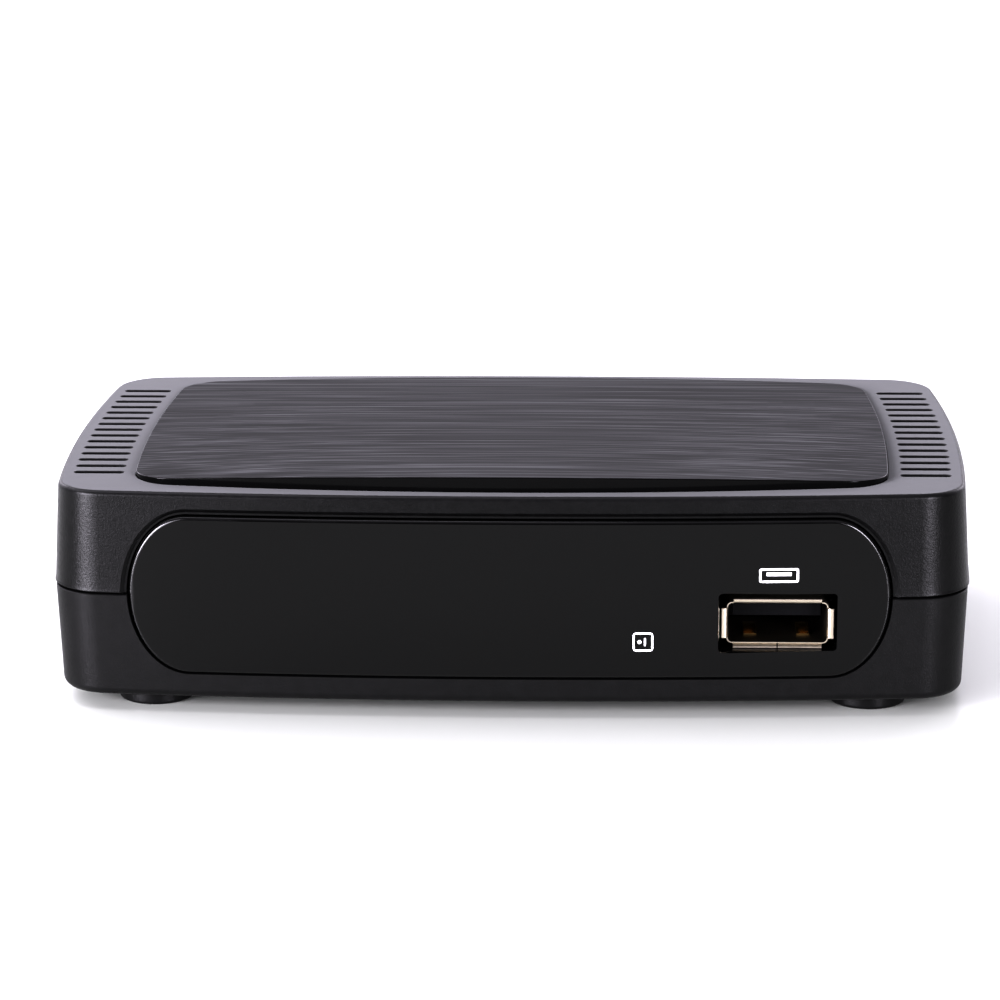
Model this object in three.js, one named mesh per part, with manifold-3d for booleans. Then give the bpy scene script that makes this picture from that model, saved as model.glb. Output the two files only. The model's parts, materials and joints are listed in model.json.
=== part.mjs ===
// Small table-top digital recorder: a two-shell plastic case with a raised brushed cover plate,
// a smoked front window, a USB port, a main board with its components, and a row of rear sockets.
// Units are millimetres. +X is the viewer's right, -Y is the front and +Z is up.
// The origin is under the middle of the whole object, rear sockets included.

import * as THREE from "three";
import { mergeVertices } from "three/addons/utils/BufferGeometryUtils.js";
import Module from "manifold-3d";

const wasm = await Module();
wasm.setup();

// ---------------------------------------------------------------- driving dimensions

// Case outline at the rim of the top shell: four shallow arcs joined by round corners.
const RIM = { halfX: 58.75, halfY: 34.0, sideBow: 300, frontBow: 600, backBow: 860, corner: 6.5 };
const WALL = 2.0;
const FLARE = 0.78; // how far the top shell spreads from its rim down to the split
const RIM_Z = 28.97;
const RIM_EDGE = 0.6; // width of the rounding along the rim
const ROOF_Z = RIM_Z - WALL; // underside of the roof
const SPLIT_TOP_Z = 16.0;
const SPLIT_BOTTOM_Z = 15.5;
// The bottom shell tapers from the split down to a rounding along its underside.
const LOWER_TOP = { ...RIM, halfX: 59.42, halfY: 34.7 };
const LOWER_BASE = { ...RIM, halfX: 58.95, halfY: 34.15 };
const UNDERSIDE_Z = 2.0;
const LOWER_EDGE = 1.1; // radius of the rounding along the underside
const FLOOR_Z = UNDERSIDE_Z + WALL;
// Upstanding lip of the bottom shell inside the top shell, as distances from the rim outline.
const LIP = { z: 17.0, outer: -1.52, inner: -2.32, floor: -1.9 };

const GAP = 0.3; // clearance between neighbouring pieces
const SNUG = 0.05; // clearance where a piece bears on its neighbour
const SLIVER = 0.002; // edges shorter than this are merged away
const PAST = 1; // how far a cutter runs past the face that it opens

// Raised cover plate: all four of its sides bow alike.
const PLATE = { halfX: 48.9, halfY: 31.5, bow: 305, corner: 6.0 };
const PLATE_SEAT_Z = 28.4;
const PLATE_FRONT_RISE = 1.93; // height over the rim in the middle of the front edge
const PLATE_BACK_RISE = 0.25;
const PLATE_CROWN = 900; // radius of the crown across the front edge

// Vent slots along both sides of the roof.
const SLOT = { count: 15, pitch: 3.254, firstY: -22.23, width: 1.05, length: 6.4, margin: 1.8 };
// Vent slots in the floor.
const FLOOR_SLOT = { count: 7, pitch: 4.5, width: 1.6, length: 16, x: 12 };

// Front window: its ends are half ellipses in front view, and it bows like the front of the case.
const WINDOW = { halfX: 48.25, endX: 7.7, bottomZ: 5.3, topZ: 26.0, faceY: -34.3, bow: 600, edge: 0.5 };
const WINDOW_FLANGE = { grow: 0.65, front: 3.6, back: 4.6 }; // depths behind the face
const WINDOW_CUTOUT = { x: 34.0, z: 12.62, width: 14.8, height: 7.5 };

const FOOT = { x: 45.86, y: 24.87, radius: 4.92, height: 2.9, edge: 0.4 };

const BOARD = { halfX: 50, frontY: -27.0, backY: 29.4, bottomZ: 7.7, topZ: 9.3, chamfer: 6 };
const BOSS = { x: 41.0, frontY: -13.0, backY: 8.5, radius: 3.0, bore: 1.5 };
const BORE_REST = 2; // depth of a boss's bore beyond its screw's tip
const CASE_SCREW = { shank: 1.2, head: 2.4, headBottomZ: 2.9, seatZ: 4.6, topZ: 20, recess: 1.0 };
const BOARD_SCREW = {
  xs: [-30, 5], y: -22, shank: 1.0, head: 2.2, headHeight: 1.5, bottomZ: 4.6, recess: 0.9,
};
const RECESS_DEPTH = 0.85; // depth of the driver recess in a screw head

// Rectangular components on the board.
const PROCESSOR = { x: -2, y: 0, width: 17, depth: 17, height: 1.6 };
const THERMAL_PAD = { x: -2, y: 0, width: 15, depth: 15, height: 0.5 };
const HEATSINK = { x: -2, y: 0, width: 22, depth: 22, height: 7, fins: 7, base: 1.6 };
const MEMORY = { x: 19, y: -2, width: 9, depth: 13, height: 1.1 };
const FLASH = { x: -8, y: -18, width: 5.2, depth: 5.2, height: 1.8 };
const REGULATOR = { x: 28, y: 8, width: 4.9, depth: 3.9, height: 1.5 };
const CRYSTAL = { x: -20, y: -2, width: 11, depth: 4.6, height: 3.5 };
const INDUCTORS = [
  { x: 32, y: 0, width: 6.6, depth: 6.6, height: 3.2 },
  { x: 32, y: -10, width: 6.6, depth: 6.6, height: 3.2 },
];
const CAPACITORS = [
  { x: 26, y: 16, radius: 3.15, height: 10 },
  { x: 26, y: 24, radius: 3.15, height: 10 },
  { x: 10.5, y: 16, radius: 2.5, height: 7 },
  { x: -17, y: -12, radius: 2.5, height: 7 },
];

// Infrared receiver and status light behind the window.
const IR = { x: 22.0, frontY: -28.4, width: 4.4, depth: 3.6, bottomZ: 11.2, topZ: 17.6, sheet: 0.25 };
const LED = { x: 12.0, z: 12.4, frontY: -28.6, radius: 1.5 };

// USB port.
const USB = {
  x: 33.95, z: 12.17, mouthY: -31.95, backY: -18.0, innerWidth: 12.5, innerHeight: 5.12,
  sheet: 0.3, lipWidth: 14.3, lipHeight: 6.5, lipDepth: 0.8,
};
const TONGUE = { width: 11.1, bottomZ: 12.2, topZ: 14.04, tipY: -28.45, rootY: -20.6 };
const CONTACT = { pitches: [-3.5, -1.0, 1.0, 3.5], width: 1.0, thickness: 0.22 };
const CONTACT_SLOT = { width: 1.7, topZ: 13.55, frontY: -27.95 };

// Rear sockets.
const REAR_Y = RIM.halfY + FLARE; // rear face of the top shell at the split
const LOWER_REAR_Y = LOWER_TOP.halfY; // rear face of the bottom shell there
const REAR_REACH = 9.5; // how far the aerial sockets stand out behind it
const SOCKET_Z = 15.75;
const AERIAL = { xs: [-40, -22], outer: [4.75, 4.5], hole: 5.4 };
const TUNER = { x: -31, width: 34, frontY: 14, backY: 28.4, height: 12 };
const VIDEO = { x: -1, width: 14.6, height: 5.6, sheet: 0.4, frontY: 23.8 };
const AV_JACK = { x: 18, z: 12.2, bore: 1.85, nose: 2.7, reach: 0.8, frontY: 19.8, backY: 29.8 };
const POWER_JACK = { x: 36, width: 9, height: 10.8, bore: 3.1, pin: 1.0 };

// Places the case so that the origin is midway between the window and the aerial sockets' ends.
const CASE_Y = -(WINDOW.faceY + REAR_Y + REAR_REACH) / 2;

// ---------------------------------------------------------------- materials

const material = (color, roughness, metalness = 0) =>
  new THREE.MeshStandardMaterial({ color, roughness, metalness });
const SHELL_BLACK = material(0x242424, 0.55);
const PLATE_GREY = material(0x3a3a3c, 0.35, 0.6);
const WINDOW_BLACK = material(0x0d0c0d, 0.05);
const RUBBER = material(0x0b0b0b, 0.35);
const STEEL = material(0xd8d0c0, 0.25, 1);
const GOLD = material(0xd8a850, 0.3, 1);
const BOARD_GREEN = material(0x0e4a2a, 0.5);
const CHIP_BLACK = material(0x151517, 0.6);
const TIN = material(0xb8bbbd, 0.35, 1);
const WHITE_PLASTIC = material(0xe8e6df, 0.5);
const BLACK_PLASTIC = material(0x111112, 0.45);
const PAD_BLUE = material(0x6d8fb0, 0.8);
const ALUMINIUM = material(0x9aa0a4, 0.4, 1);
const CAN_SLEEVE = material(0x1b2433, 0.4);
const SCREW_BLACK = material(0x2a2a2c, 0.35, 1);
const LED_CLEAR = material(0xd9e2e4, 0.15);

// ---------------------------------------------------------------- solids

/** Turns a closed three.js geometry into a solid that can be joined and cut. */
function solid(geometry) {
  const bare = new THREE.BufferGeometry();
  bare.setAttribute("position", geometry.getAttribute("position"));
  bare.setIndex(geometry.index);
  const merged = mergeVertices(bare, 1e-4);
  const vertProperties = new Float32Array(merged.getAttribute("position").array);
  const triVerts = new Uint32Array(merged.index.array);
  return new wasm.Manifold(new wasm.Mesh({ numProp: 3, vertProperties, triVerts }));
}

/** Turns a solid back into a three.js geometry, without the slivers that cuts leave. */
function geometryOf(shape) {
  const mesh = shape.simplify(SLIVER).getMesh();
  const geometry = new THREE.BufferGeometry();
  geometry.setAttribute("position", new THREE.BufferAttribute(mesh.vertProperties, 3));
  geometry.setIndex(new THREE.BufferAttribute(mesh.triVerts, 1));
  return geometry;
}

const joined = (...shapes) => shapes.reduce((whole, shape) => whole.add(shape));
const cut = (shape, ...tools) => tools.reduce((rest, tool) => rest.subtract(tool), shape);

function block(x0, x1, y0, y1, z0, z1) {
  const box = new THREE.BoxGeometry(x1 - x0, y1 - y0, z1 - z0);
  return solid(box.translate((x0 + x1) / 2, (y0 + y1) / 2, (z0 + z1) / 2));
}

/** Upright cylinder. */
function post(x, y, radius, z0, z1, sides = 16) {
  const cylinder = new THREE.CylinderGeometry(radius, radius, z1 - z0, sides);
  return solid(cylinder.rotateX(Math.PI / 2).translate(x, y, (z0 + z1) / 2));
}

/** Cylinder lying along Y. */
function bar(x, z, radius, y0, y1, sides = 24) {
  const cylinder = new THREE.CylinderGeometry(radius, radius, y1 - y0, sides);
  return solid(cylinder.translate(x, (y0 + y1) / 2, z));
}

/** Solid of revolution about a line along Y through (x, z); the profile is [radius, y] pairs. */
function turned(x, z, profile, sides = 20) {
  const points = profile.map(([radius, y]) => new THREE.Vector2(radius, y));
  return solid(new THREE.LatheGeometry(points, sides).translate(x, 0, z));
}

/**
 * Closed solid through a stack of rings. Every ring is mirror-symmetric about the line through
 * its first and middle points, so the end caps are strips between mirrored points.
 */
function loft(rings) {
  const count = rings[0].length;
  const index = [];
  for (let level = 0; level < rings.length - 1; level++) {
    for (let i = 0; i < count; i++) {
      const a = level * count + i;
      const b = level * count + ((i + 1) % count);
      index.push(a, b, b + count, a, b + count, a + count);
    }
  }
  const last = (rings.length - 1) * count;
  for (let i = 0; i < count / 2; i++) {
    const quad = [i, i + 1, (count - i - 1) % count, (count - i) % count];
    for (const [a, b, c] of [[quad[0], quad[2], quad[1]], [quad[0], quad[3], quad[2]]]) {
      if (a !== b && b !== c && c !== a) {
        index.push(a, b, c);
        index.push(last + a, last + c, last + b);
      }
    }
  }
  const positions = rings.flat().flatMap((point) => point.toArray());
  const geometry = new THREE.BufferGeometry();
  geometry.setAttribute("position", new THREE.Float32BufferAttribute(positions, 3));
  geometry.setIndex(signedVolume(positions, index) < 0 ? index.reverse() : index);
  return solid(geometry);
}

function signedVolume(positions, index) {
  const corner = (i) => new THREE.Vector3().fromArray(positions, 3 * i);
  let volume = 0;
  for (let i = 0; i < index.length; i += 3) {
    const [a, b, c] = [corner(index[i]), corner(index[i + 1]), corner(index[i + 2])];
    volume += a.dot(b.cross(c)) / 6;
  }
  return volume;
}

/** Appends the mirror images of the points between the two ends of half a ring. */
function closedRing(half, mirror) {
  return [...half, ...half.slice(1, -1).reverse().map(mirror)];
}

// ---------------------------------------------------------------- outlines

/** Points along an arc, without its last point. */
function arc(centre, radius, from, to, steps) {
  return Array.from({ length: steps }, (_, i) => {
    const angle = from + ((to - from) * i) / steps;
    return [centre[0] + radius * Math.cos(angle), centre[1] + radius * Math.sin(angle)];
  });
}

/** The meeting point, with x > 0 and the given sign of y, of a circle on the X axis and one on Y. */
function meeting(sideX, sideRadius, endY, endRadius, ySign) {
  const gap = Math.hypot(sideX, endY);
  const along = (sideRadius ** 2 - endRadius ** 2 + gap ** 2) / (2 * gap);
  const off = Math.sqrt(sideRadius ** 2 - along ** 2);
  const [ux, uy] = [-sideX / gap, endY / gap];
  const candidates = [1, -1].map((s) => [sideX + ux * along - s * uy * off, uy * along + s * ux * off]);
  return candidates.find((point) => point[0] > 0 && point[1] * ySign > 0);
}

/**
 * Right-hand half of a bowed rectangle with round corners, from the middle of its front to the
 * middle of its back, moved outwards by grow.
 */
function bowedHalf({ halfX, halfY, sideBow, frontBow, backBow, corner }, grow, steps) {
  const side = [halfX - sideBow, 0];
  const front = [0, frontBow - halfY];
  const back = [0, halfY - backBow];
  const frontCorner = meeting(side[0], sideBow - corner, front[1], frontBow - corner, -1);
  const backCorner = meeting(side[0], sideBow - corner, back[1], backBow - corner, 1);
  const angle = (from, to) => Math.atan2(to[1] - from[1], to[0] - from[0]);
  return [
    ...arc(front, frontBow + grow, -Math.PI / 2, angle(front, frontCorner), steps.end),
    ...arc(frontCorner, corner + grow, angle(front, frontCorner), angle(side, frontCorner), steps.corner),
    ...arc(side, sideBow + grow, angle(side, frontCorner), angle(side, backCorner), steps.side),
    ...arc(backCorner, corner + grow, angle(side, backCorner), angle(back, backCorner), steps.corner),
    ...arc(back, backBow + grow, angle(back, backCorner), Math.PI / 2, steps.end),
    [0, halfY + grow],
  ];
}

const CASE_STEPS = { end: 6, corner: 6, side: 6 };

/** Case outline at one height, as a ring that is symmetric about the Y axis. */
function caseRing(z, grow, outline = RIM) {
  const half = bowedHalf(outline, grow, CASE_STEPS).map(([x, y]) => new THREE.Vector3(x, y, z));
  return closedRing(half, (p) => new THREE.Vector3(-p.x, p.y, p.z));
}

/** Plate outline as a ring that is symmetric about the X axis; heightAt gives each point's z. */
function plateRing(grow, heightAt) {
  const turnedPlate = {
    halfX: PLATE.halfY, halfY: PLATE.halfX, corner: PLATE.corner,
    sideBow: PLATE.bow, frontBow: PLATE.bow, backBow: PLATE.bow,
  };
  const half = bowedHalf(turnedPlate, grow, { end: 3, corner: 6, side: 14 });
  const points = half.map(([y, x]) => new THREE.Vector3(x, y, heightAt(x, y)));
  return closedRing(points, (p) => new THREE.Vector3(p.x, -p.y, heightAt(p.x, -p.y)));
}

/** The plate's top is ruled from its crowned front edge to its almost level back edge. */
function plateTop(x, y) {
  const front = PLATE_FRONT_RISE - x ** 2 / (2 * PLATE_CROWN);
  const along = (y + PLATE.halfY) / (2 * PLATE.halfY);
  return RIM_Z + THREE.MathUtils.lerp(front, PLATE_BACK_RISE, along);
}

/** Window outline at one depth behind its bowed face, symmetric about its mid height. */
function windowRing(depth, grow) {
  const halfZ = (WINDOW.topZ - WINDOW.bottomZ) / 2 + grow;
  const middleZ = (WINDOW.topZ + WINDOW.bottomZ) / 2;
  const flatX = WINDOW.halfX - WINDOW.endX;
  const end = arc([0, 0], 1, 0, Math.PI / 2, 6).map(([x, z]) => [
    flatX + (WINDOW.endX + grow) * x, halfZ * z,
  ]);
  const flat = Array.from({ length: 13 }, (_, i) => [flatX - (2 * flatX * i) / 12, halfZ]);
  const otherEnd = end.map(([x, z]) => [-x, z]).reverse();
  const half = [...end, ...flat, ...otherEnd];
  const place = (x, z) => new THREE.Vector3(x, windowY(x) + depth, middleZ + z);
  const points = half.map(([x, z]) => place(x, z));
  return closedRing(points, (p) => place(p.x, middleZ - p.z));
}

const windowY = (x) => WINDOW.faceY + x ** 2 / (2 * WINDOW.bow);
const sideX = (y) => RIM.halfX - y ** 2 / (2 * RIM.sideBow);

/** Upright slot with round ends, its length along X or Y. */
function slot(x, y, length, width, z0, z1, alongY = false) {
  const reach = (length - width) / 2;
  const outline = new THREE.Shape();
  outline.absarc(reach, 0, width / 2, -Math.PI / 2, Math.PI / 2, false);
  outline.absarc(-reach, 0, width / 2, Math.PI / 2, Math.PI * 1.5, false);
  const geometry = new THREE.ExtrudeGeometry(outline, {
    depth: z1 - z0, bevelEnabled: false, curveSegments: 3,
  });
  return solid(geometry.rotateZ(alongY ? Math.PI / 2 : 0).translate(x, y, z0));
}

/** Rectangular ring in front view, symmetric about its own upright middle. */
function frameRing(x, z, y, width, height) {
  const [w, h] = [width / 2, height / 2];
  const half = [[0, -h], [w, -h], [w, h], [0, h]];
  const points = half.map(([dx, dz]) => new THREE.Vector3(x + dx, y, z + dz));
  return closedRing(points, (p) => new THREE.Vector3(2 * x - p.x, p.y, p.z));
}

// ---------------------------------------------------------------- case

const windowOpening = loft([windowRing(-5, GAP), windowRing(WINDOW_FLANGE.front, GAP)]);
const bossPlaces = [-1, 1].flatMap((s) => [[s * BOSS.x, BOSS.frontY], [s * BOSS.x, BOSS.backY]]);
const boardScrewPlaces = BOARD_SCREW.xs.map((x) => [x, BOARD_SCREW.y]);

/** The holes that the rear sockets need in the rear walls of both shells. */
function rearHoles() {
  const [y0, y1] = [REAR_Y - 6, REAR_Y + 2];
  const [left, right] = [VIDEO.x - VIDEO.width / 2 - GAP, VIDEO.x + VIDEO.width / 2 + GAP];
  const videoZ = BOARD.topZ + VIDEO.height / 2;
  const halfHeight = VIDEO.height / 2 + GAP;
  const half = POWER_JACK.width / 2 + GAP;
  return [
    ...AERIAL.xs.map((x) => bar(x, SOCKET_Z, AERIAL.hole, y0, y1)),
    block(left, right, y0, y1, videoZ - halfHeight, videoZ + halfHeight),
    bar(AV_JACK.x, AV_JACK.z, AV_JACK.nose + GAP, y0, y1),
    block(POWER_JACK.x - half, POWER_JACK.x + half, y0, y1,
      BOARD.topZ - GAP, SOCKET_Z + POWER_JACK.height / 2 + GAP),
  ];
}

function topShell() {
  const edgeZ = RIM_Z - RIM_EDGE;
  const edgeGrow = (FLARE * (RIM_Z - edgeZ)) / (RIM_Z - SPLIT_TOP_Z);
  const outer = loft([caseRing(SPLIT_TOP_Z, FLARE), caseRing(edgeZ, edgeGrow), caseRing(RIM_Z, -RIM_EDGE)]);
  const inner = loft([caseRing(SPLIT_TOP_Z - PAST, FLARE - WALL), caseRing(ROOF_Z, -WALL)]);
  const seat = loft([plateRing(GAP, () => PLATE_SEAT_Z), plateRing(GAP, () => RIM_Z + PAST)]);
  const slots = [];
  for (let i = 0; i < SLOT.count; i++) {
    const y = SLOT.firstY + i * SLOT.pitch;
    const x = sideX(y) - SLOT.margin - SLOT.length / 2;
    for (const side of [-1, 1]) {
      slots.push(slot(side * x, y, SLOT.length, SLOT.width, ROOF_Z - PAST, RIM_Z + PAST));
    }
  }
  const bosses = bossPlaces.map(([x, y]) => post(x, y, BOSS.radius, BOARD.topZ + GAP, ROOF_Z + PAST));
  const bores = bossPlaces.map(([x, y]) => post(x, y, BOSS.bore,
    BOARD.topZ - PAST, CASE_SCREW.topZ + BORE_REST, 12));
  const shell = cut(outer, inner, seat, windowOpening, ...slots, ...rearHoles());
  return cut(joined(shell, ...bosses), ...bores);
}

function bottomShell() {
  const outer = loft([
    caseRing(UNDERSIDE_Z, -LOWER_EDGE, LOWER_BASE),
    caseRing(UNDERSIDE_Z + 0.3 * LOWER_EDGE, -0.3 * LOWER_EDGE, LOWER_BASE),
    caseRing(UNDERSIDE_Z + LOWER_EDGE, 0, LOWER_BASE),
    caseRing(SPLIT_BOTTOM_Z, 0, LOWER_TOP),
  ]);
  const lip = loft([caseRing(SPLIT_BOTTOM_Z - PAST, LIP.outer), caseRing(LIP.z, LIP.outer)]);
  const inner = loft([caseRing(FLOOR_Z, LIP.floor), caseRing(LIP.z + PAST, LIP.inner)]);
  const shell = cut(joined(outer, lip), inner);
  const posts = bossPlaces.map(([x, y]) => post(x, y, BOSS.radius, FLOOR_Z - PAST, BOARD.bottomZ));
  const boardPosts = boardScrewPlaces.map(([x, y]) => post(x, y, BOSS.radius, FLOOR_Z - PAST, BOARD.bottomZ));
  const bores = bossPlaces.map(([x, y]) => post(x, y, BOSS.bore, 0, BOARD.topZ, 12));
  const boardBores = boardScrewPlaces.map(([x, y]) => post(x, y, BOARD_SCREW.shank + GAP,
    BOARD_SCREW.bottomZ - GAP, BOARD.topZ, 12));
  const sinks = bossPlaces.map(([x, y]) => post(x, y, CASE_SCREW.head + GAP, 0, CASE_SCREW.seatZ));
  const footSeats = footPlaces.map(([, x, y]) => post(x, y, FOOT.radius + GAP,
    0, FOOT.height + SNUG, 32));
  const vents = [];
  for (let i = 0; i < FLOOR_SLOT.count; i++) {
    const y = (i - (FLOOR_SLOT.count - 1) / 2) * FLOOR_SLOT.pitch;
    for (const side of [-1, 1]) {
      vents.push(slot(side * FLOOR_SLOT.x, y, FLOOR_SLOT.length, FLOOR_SLOT.width, 0, FLOOR_Z + PAST));
    }
  }
  return cut(joined(shell, ...posts, ...boardPosts),
    ...bores, ...boardBores, ...sinks, ...footSeats, ...vents, windowOpening, ...rearHoles());
}

const footPlaces = [
  ["foot_front_left", -FOOT.x, -FOOT.y],
  ["foot_front_right", FOOT.x, -FOOT.y],
  ["foot_rear_left", -FOOT.x, FOOT.y],
  ["foot_rear_right", FOOT.x, FOOT.y],
];

function foot(x, y) {
  const profile = [[0, 0], [FOOT.radius - FOOT.edge, 0], [FOOT.radius, FOOT.edge],
    [FOOT.radius, FOOT.height], [0, FOOT.height]];
  const points = profile.map(([radius, z]) => new THREE.Vector2(radius, z));
  return solid(new THREE.LatheGeometry(points, 32).rotateX(Math.PI / 2).translate(x, y, 0));
}

function frontWindow() {
  const flange = WINDOW_FLANGE;
  const body = loft([
    windowRing(0, -WINDOW.edge), windowRing(WINDOW.edge, 0), windowRing(flange.front, 0),
    windowRing(flange.front + 0.01, flange.grow), windowRing(flange.back, flange.grow),
  ]);
  const { x, z, width, height } = WINDOW_CUTOUT;
  return cut(body, block(x - width / 2, x + width / 2, WINDOW.faceY - PAST, BOARD.frontY,
    z - height / 2, z + height / 2));
}

function coverPlate() {
  return loft([plateRing(0, () => PLATE_SEAT_Z), plateRing(0, plateTop)]);
}

function caseScrew(x, y) {
  const head = post(x, y, CASE_SCREW.head, CASE_SCREW.headBottomZ, CASE_SCREW.seatZ - SNUG);
  const recess = post(x, y, CASE_SCREW.recess,
    CASE_SCREW.headBottomZ - PAST, CASE_SCREW.headBottomZ + RECESS_DEPTH, 6);
  const shank = post(x, y, CASE_SCREW.shank, CASE_SCREW.headBottomZ + PAST, CASE_SCREW.topZ, 12);
  return cut(joined(head, shank), recess);
}

function boardScrew(x, y) {
  const top = BOARD.topZ + SNUG + BOARD_SCREW.headHeight;
  const head = post(x, y, BOARD_SCREW.head, BOARD.topZ + SNUG, top);
  const recess = post(x, y, BOARD_SCREW.recess, top - RECESS_DEPTH, top + PAST, 6);
  const shank = post(x, y, BOARD_SCREW.shank, BOARD_SCREW.bottomZ, top - PAST, 12);
  return cut(joined(head, shank), recess);
}

// ---------------------------------------------------------------- main board and its components

function mainBoard() {
  const { halfX, frontY, backY, chamfer } = BOARD;
  const outline = new THREE.Shape([
    new THREE.Vector2(-halfX + chamfer, frontY), new THREE.Vector2(halfX - chamfer, frontY),
    new THREE.Vector2(halfX, frontY + chamfer), new THREE.Vector2(halfX, backY - chamfer),
    new THREE.Vector2(halfX - chamfer, backY), new THREE.Vector2(-halfX + chamfer, backY),
    new THREE.Vector2(-halfX, backY - chamfer), new THREE.Vector2(-halfX, frontY + chamfer),
  ]);
  const depth = BOARD.topZ - BOARD.bottomZ;
  const sheet = new THREE.ExtrudeGeometry(outline, { depth, bevelEnabled: false });
  const holes = [...bossPlaces, ...boardScrewPlaces].map(([x, y]) => post(x, y, BOSS.bore, 0, 20, 12));
  return cut(solid(sheet.translate(0, 0, BOARD.bottomZ)), ...holes);
}

/** A rectangular component that stands on the board, or lift above it. */
function onBoard({ x, y, width, depth, height }, lift = 0) {
  const z0 = BOARD.topZ + lift;
  return block(x - width / 2, x + width / 2, y - depth / 2, y + depth / 2, z0, z0 + height);
}

/** Finned block; the gaps between its fins are as wide as the fins and run along Y. */
function heatsink() {
  const { x, y, width, depth, height, fins, base } = HEATSINK;
  const lift = PROCESSOR.height + THERMAL_PAD.height;
  const z0 = BOARD.topZ + lift;
  const pitch = width / (fins - 0.5);
  const gaps = [];
  for (let i = 0; i < fins - 1; i++) {
    const left = x - width / 2 + (i + 0.5) * pitch;
    gaps.push(block(left, left + pitch / 2, y - depth / 2 - PAST, y + depth / 2 + PAST,
      z0 + base, z0 + height + PAST));
  }
  return cut(onBoard(HEATSINK, lift), ...gaps);
}

function capacitor({ x, y, radius, height }) {
  const [z0, z1] = [BOARD.topZ, BOARD.topZ + height];
  const groove = [[0, z0], [radius, z0], [radius, z1 - 2.2], [radius - 0.25, z1 - 1.8],
    [radius, z1 - 1.4], [radius, z1 - 0.3], [radius - 0.3, z1], [0, z1]];
  const points = groove.map(([r, z]) => new THREE.Vector2(r, z));
  return solid(new THREE.LatheGeometry(points, 20).rotateX(Math.PI / 2).translate(x, y, 0));
}

function irReceiver() {
  const { x, frontY, width, depth, bottomZ, topZ } = IR;
  const body = block(x - width / 2 + 0.3, x + width / 2 - 0.3, frontY + 1.3, frontY + depth, bottomZ, topZ);
  const lens = post(x, frontY + 1.5, 1.5, bottomZ + 0.6, topZ - 0.6, 16);
  return joined(body, lens);
}

/** Bent tin cage that holds the receiver on the board. */
function irCage() {
  const { x, frontY, width, depth, topZ, sheet } = IR;
  const backY = frontY + depth + GAP;
  const [left, right] = [x - width / 2 - sheet, x + width / 2 + sheet];
  const top = topZ + GAP;
  return joined(
    block(left, left + sheet, frontY + 0.6, backY + sheet, BOARD.topZ, top + sheet),
    block(right - sheet, right, frontY + 0.6, backY + sheet, BOARD.topZ, top + sheet),
    block(left, right, backY, backY + sheet, BOARD.topZ + 1.5, top + sheet),
    block(left, right, frontY + 0.6, backY + sheet, top, top + sheet),
  ).subtract(block(left - 1, right + 1, frontY - 1, BOARD.frontY + GAP, 0, BOARD.topZ + GAP));
}

function statusLed() {
  const { x, z, frontY, radius } = LED;
  return turned(x, z, [[0, frontY], [0.8, frontY + 0.25], [1.3, frontY + 0.8], [radius, frontY + 1.5],
    [radius, frontY + 3.8], [1.9, frontY + 3.8], [1.9, frontY + 4.8], [0, frontY + 4.8]]);
}

function ledHolder() {
  const { x, z, frontY, radius } = LED;
  const holder = block(x - 2.5, x + 2.5, BOARD.frontY + 0.2, BOARD.frontY + 2.0, BOARD.topZ, z + 2.5);
  return cut(holder, bar(x, z, radius + GAP, frontY, frontY + 8));
}

// ---------------------------------------------------------------- USB port

function usbShell() {
  const { x, z, mouthY, backY, innerWidth, innerHeight, sheet, lipWidth, lipHeight, lipDepth } = USB;
  const tube = [innerWidth + 2 * sheet, innerHeight + 2 * sheet];
  const outer = loft([
    frameRing(x, z, mouthY, lipWidth, lipHeight), frameRing(x, z, mouthY + lipDepth, ...tube),
    frameRing(x, z, backY, ...tube),
  ]);
  const inner = loft([
    frameRing(x, z, mouthY - 0.1, lipWidth - sheet, lipHeight - sheet),
    frameRing(x, z, mouthY + lipDepth, innerWidth, innerHeight),
    frameRing(x, z, backY + 1, innerWidth, innerHeight),
  ]);
  return cut(outer, inner);
}

function usbInsulator() {
  const { x, z, innerWidth, innerHeight, backY } = USB;
  const [w, h] = [innerWidth / 2 - GAP / 2, innerHeight / 2 - GAP / 2];
  const base = block(x - w, x + w, TONGUE.rootY, backY - SNUG, z - h, z + h);
  const tongue = block(x - TONGUE.width / 2, x + TONGUE.width / 2, TONGUE.tipY, TONGUE.rootY + 1,
    TONGUE.bottomZ, TONGUE.topZ);
  const slots = CONTACT.pitches.map((dx) => block(x + dx - CONTACT_SLOT.width / 2,
    x + dx + CONTACT_SLOT.width / 2, CONTACT_SLOT.frontY, TONGUE.rootY, 0, CONTACT_SLOT.topZ));
  return cut(joined(base, tongue), ...slots);
}

/** Leaf contact: it leaves the root, bows below the tongue and curls back up at its tip. */
const CONTACT_LINE = [[-20.8, 12.85], [-22.6, 12.7], [-24.6, 12.1], [-25.6, 11.75], [-26.3, 11.75],
  [-27.0, 12.15], [-27.55, 12.6]];

function usbContact(dx) {
  const lower = CONTACT_LINE.map(([y, z]) => new THREE.Vector2(y, z));
  const upper = CONTACT_LINE.map(([y, z]) => new THREE.Vector2(y, z + CONTACT.thickness)).reverse();
  const strip = new THREE.ExtrudeGeometry(new THREE.Shape([...lower, ...upper]), {
    depth: CONTACT.width, bevelEnabled: false,
  });
  // The outline is drawn in (y, z), so its local axes are turned to world Y, Z and X.
  const basis = new THREE.Matrix4().makeBasis(
    new THREE.Vector3(0, 1, 0), new THREE.Vector3(0, 0, 1), new THREE.Vector3(1, 0, 0));
  return solid(strip.applyMatrix4(basis).translate(USB.x + dx - CONTACT.width / 2, 0, 0));
}

// ---------------------------------------------------------------- rear sockets

function tunerCan() {
  const { x, width, frontY, backY, height } = TUNER;
  return block(x - width / 2, x + width / 2, frontY, backY, BOARD.topZ, BOARD.topZ + height);
}

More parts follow.
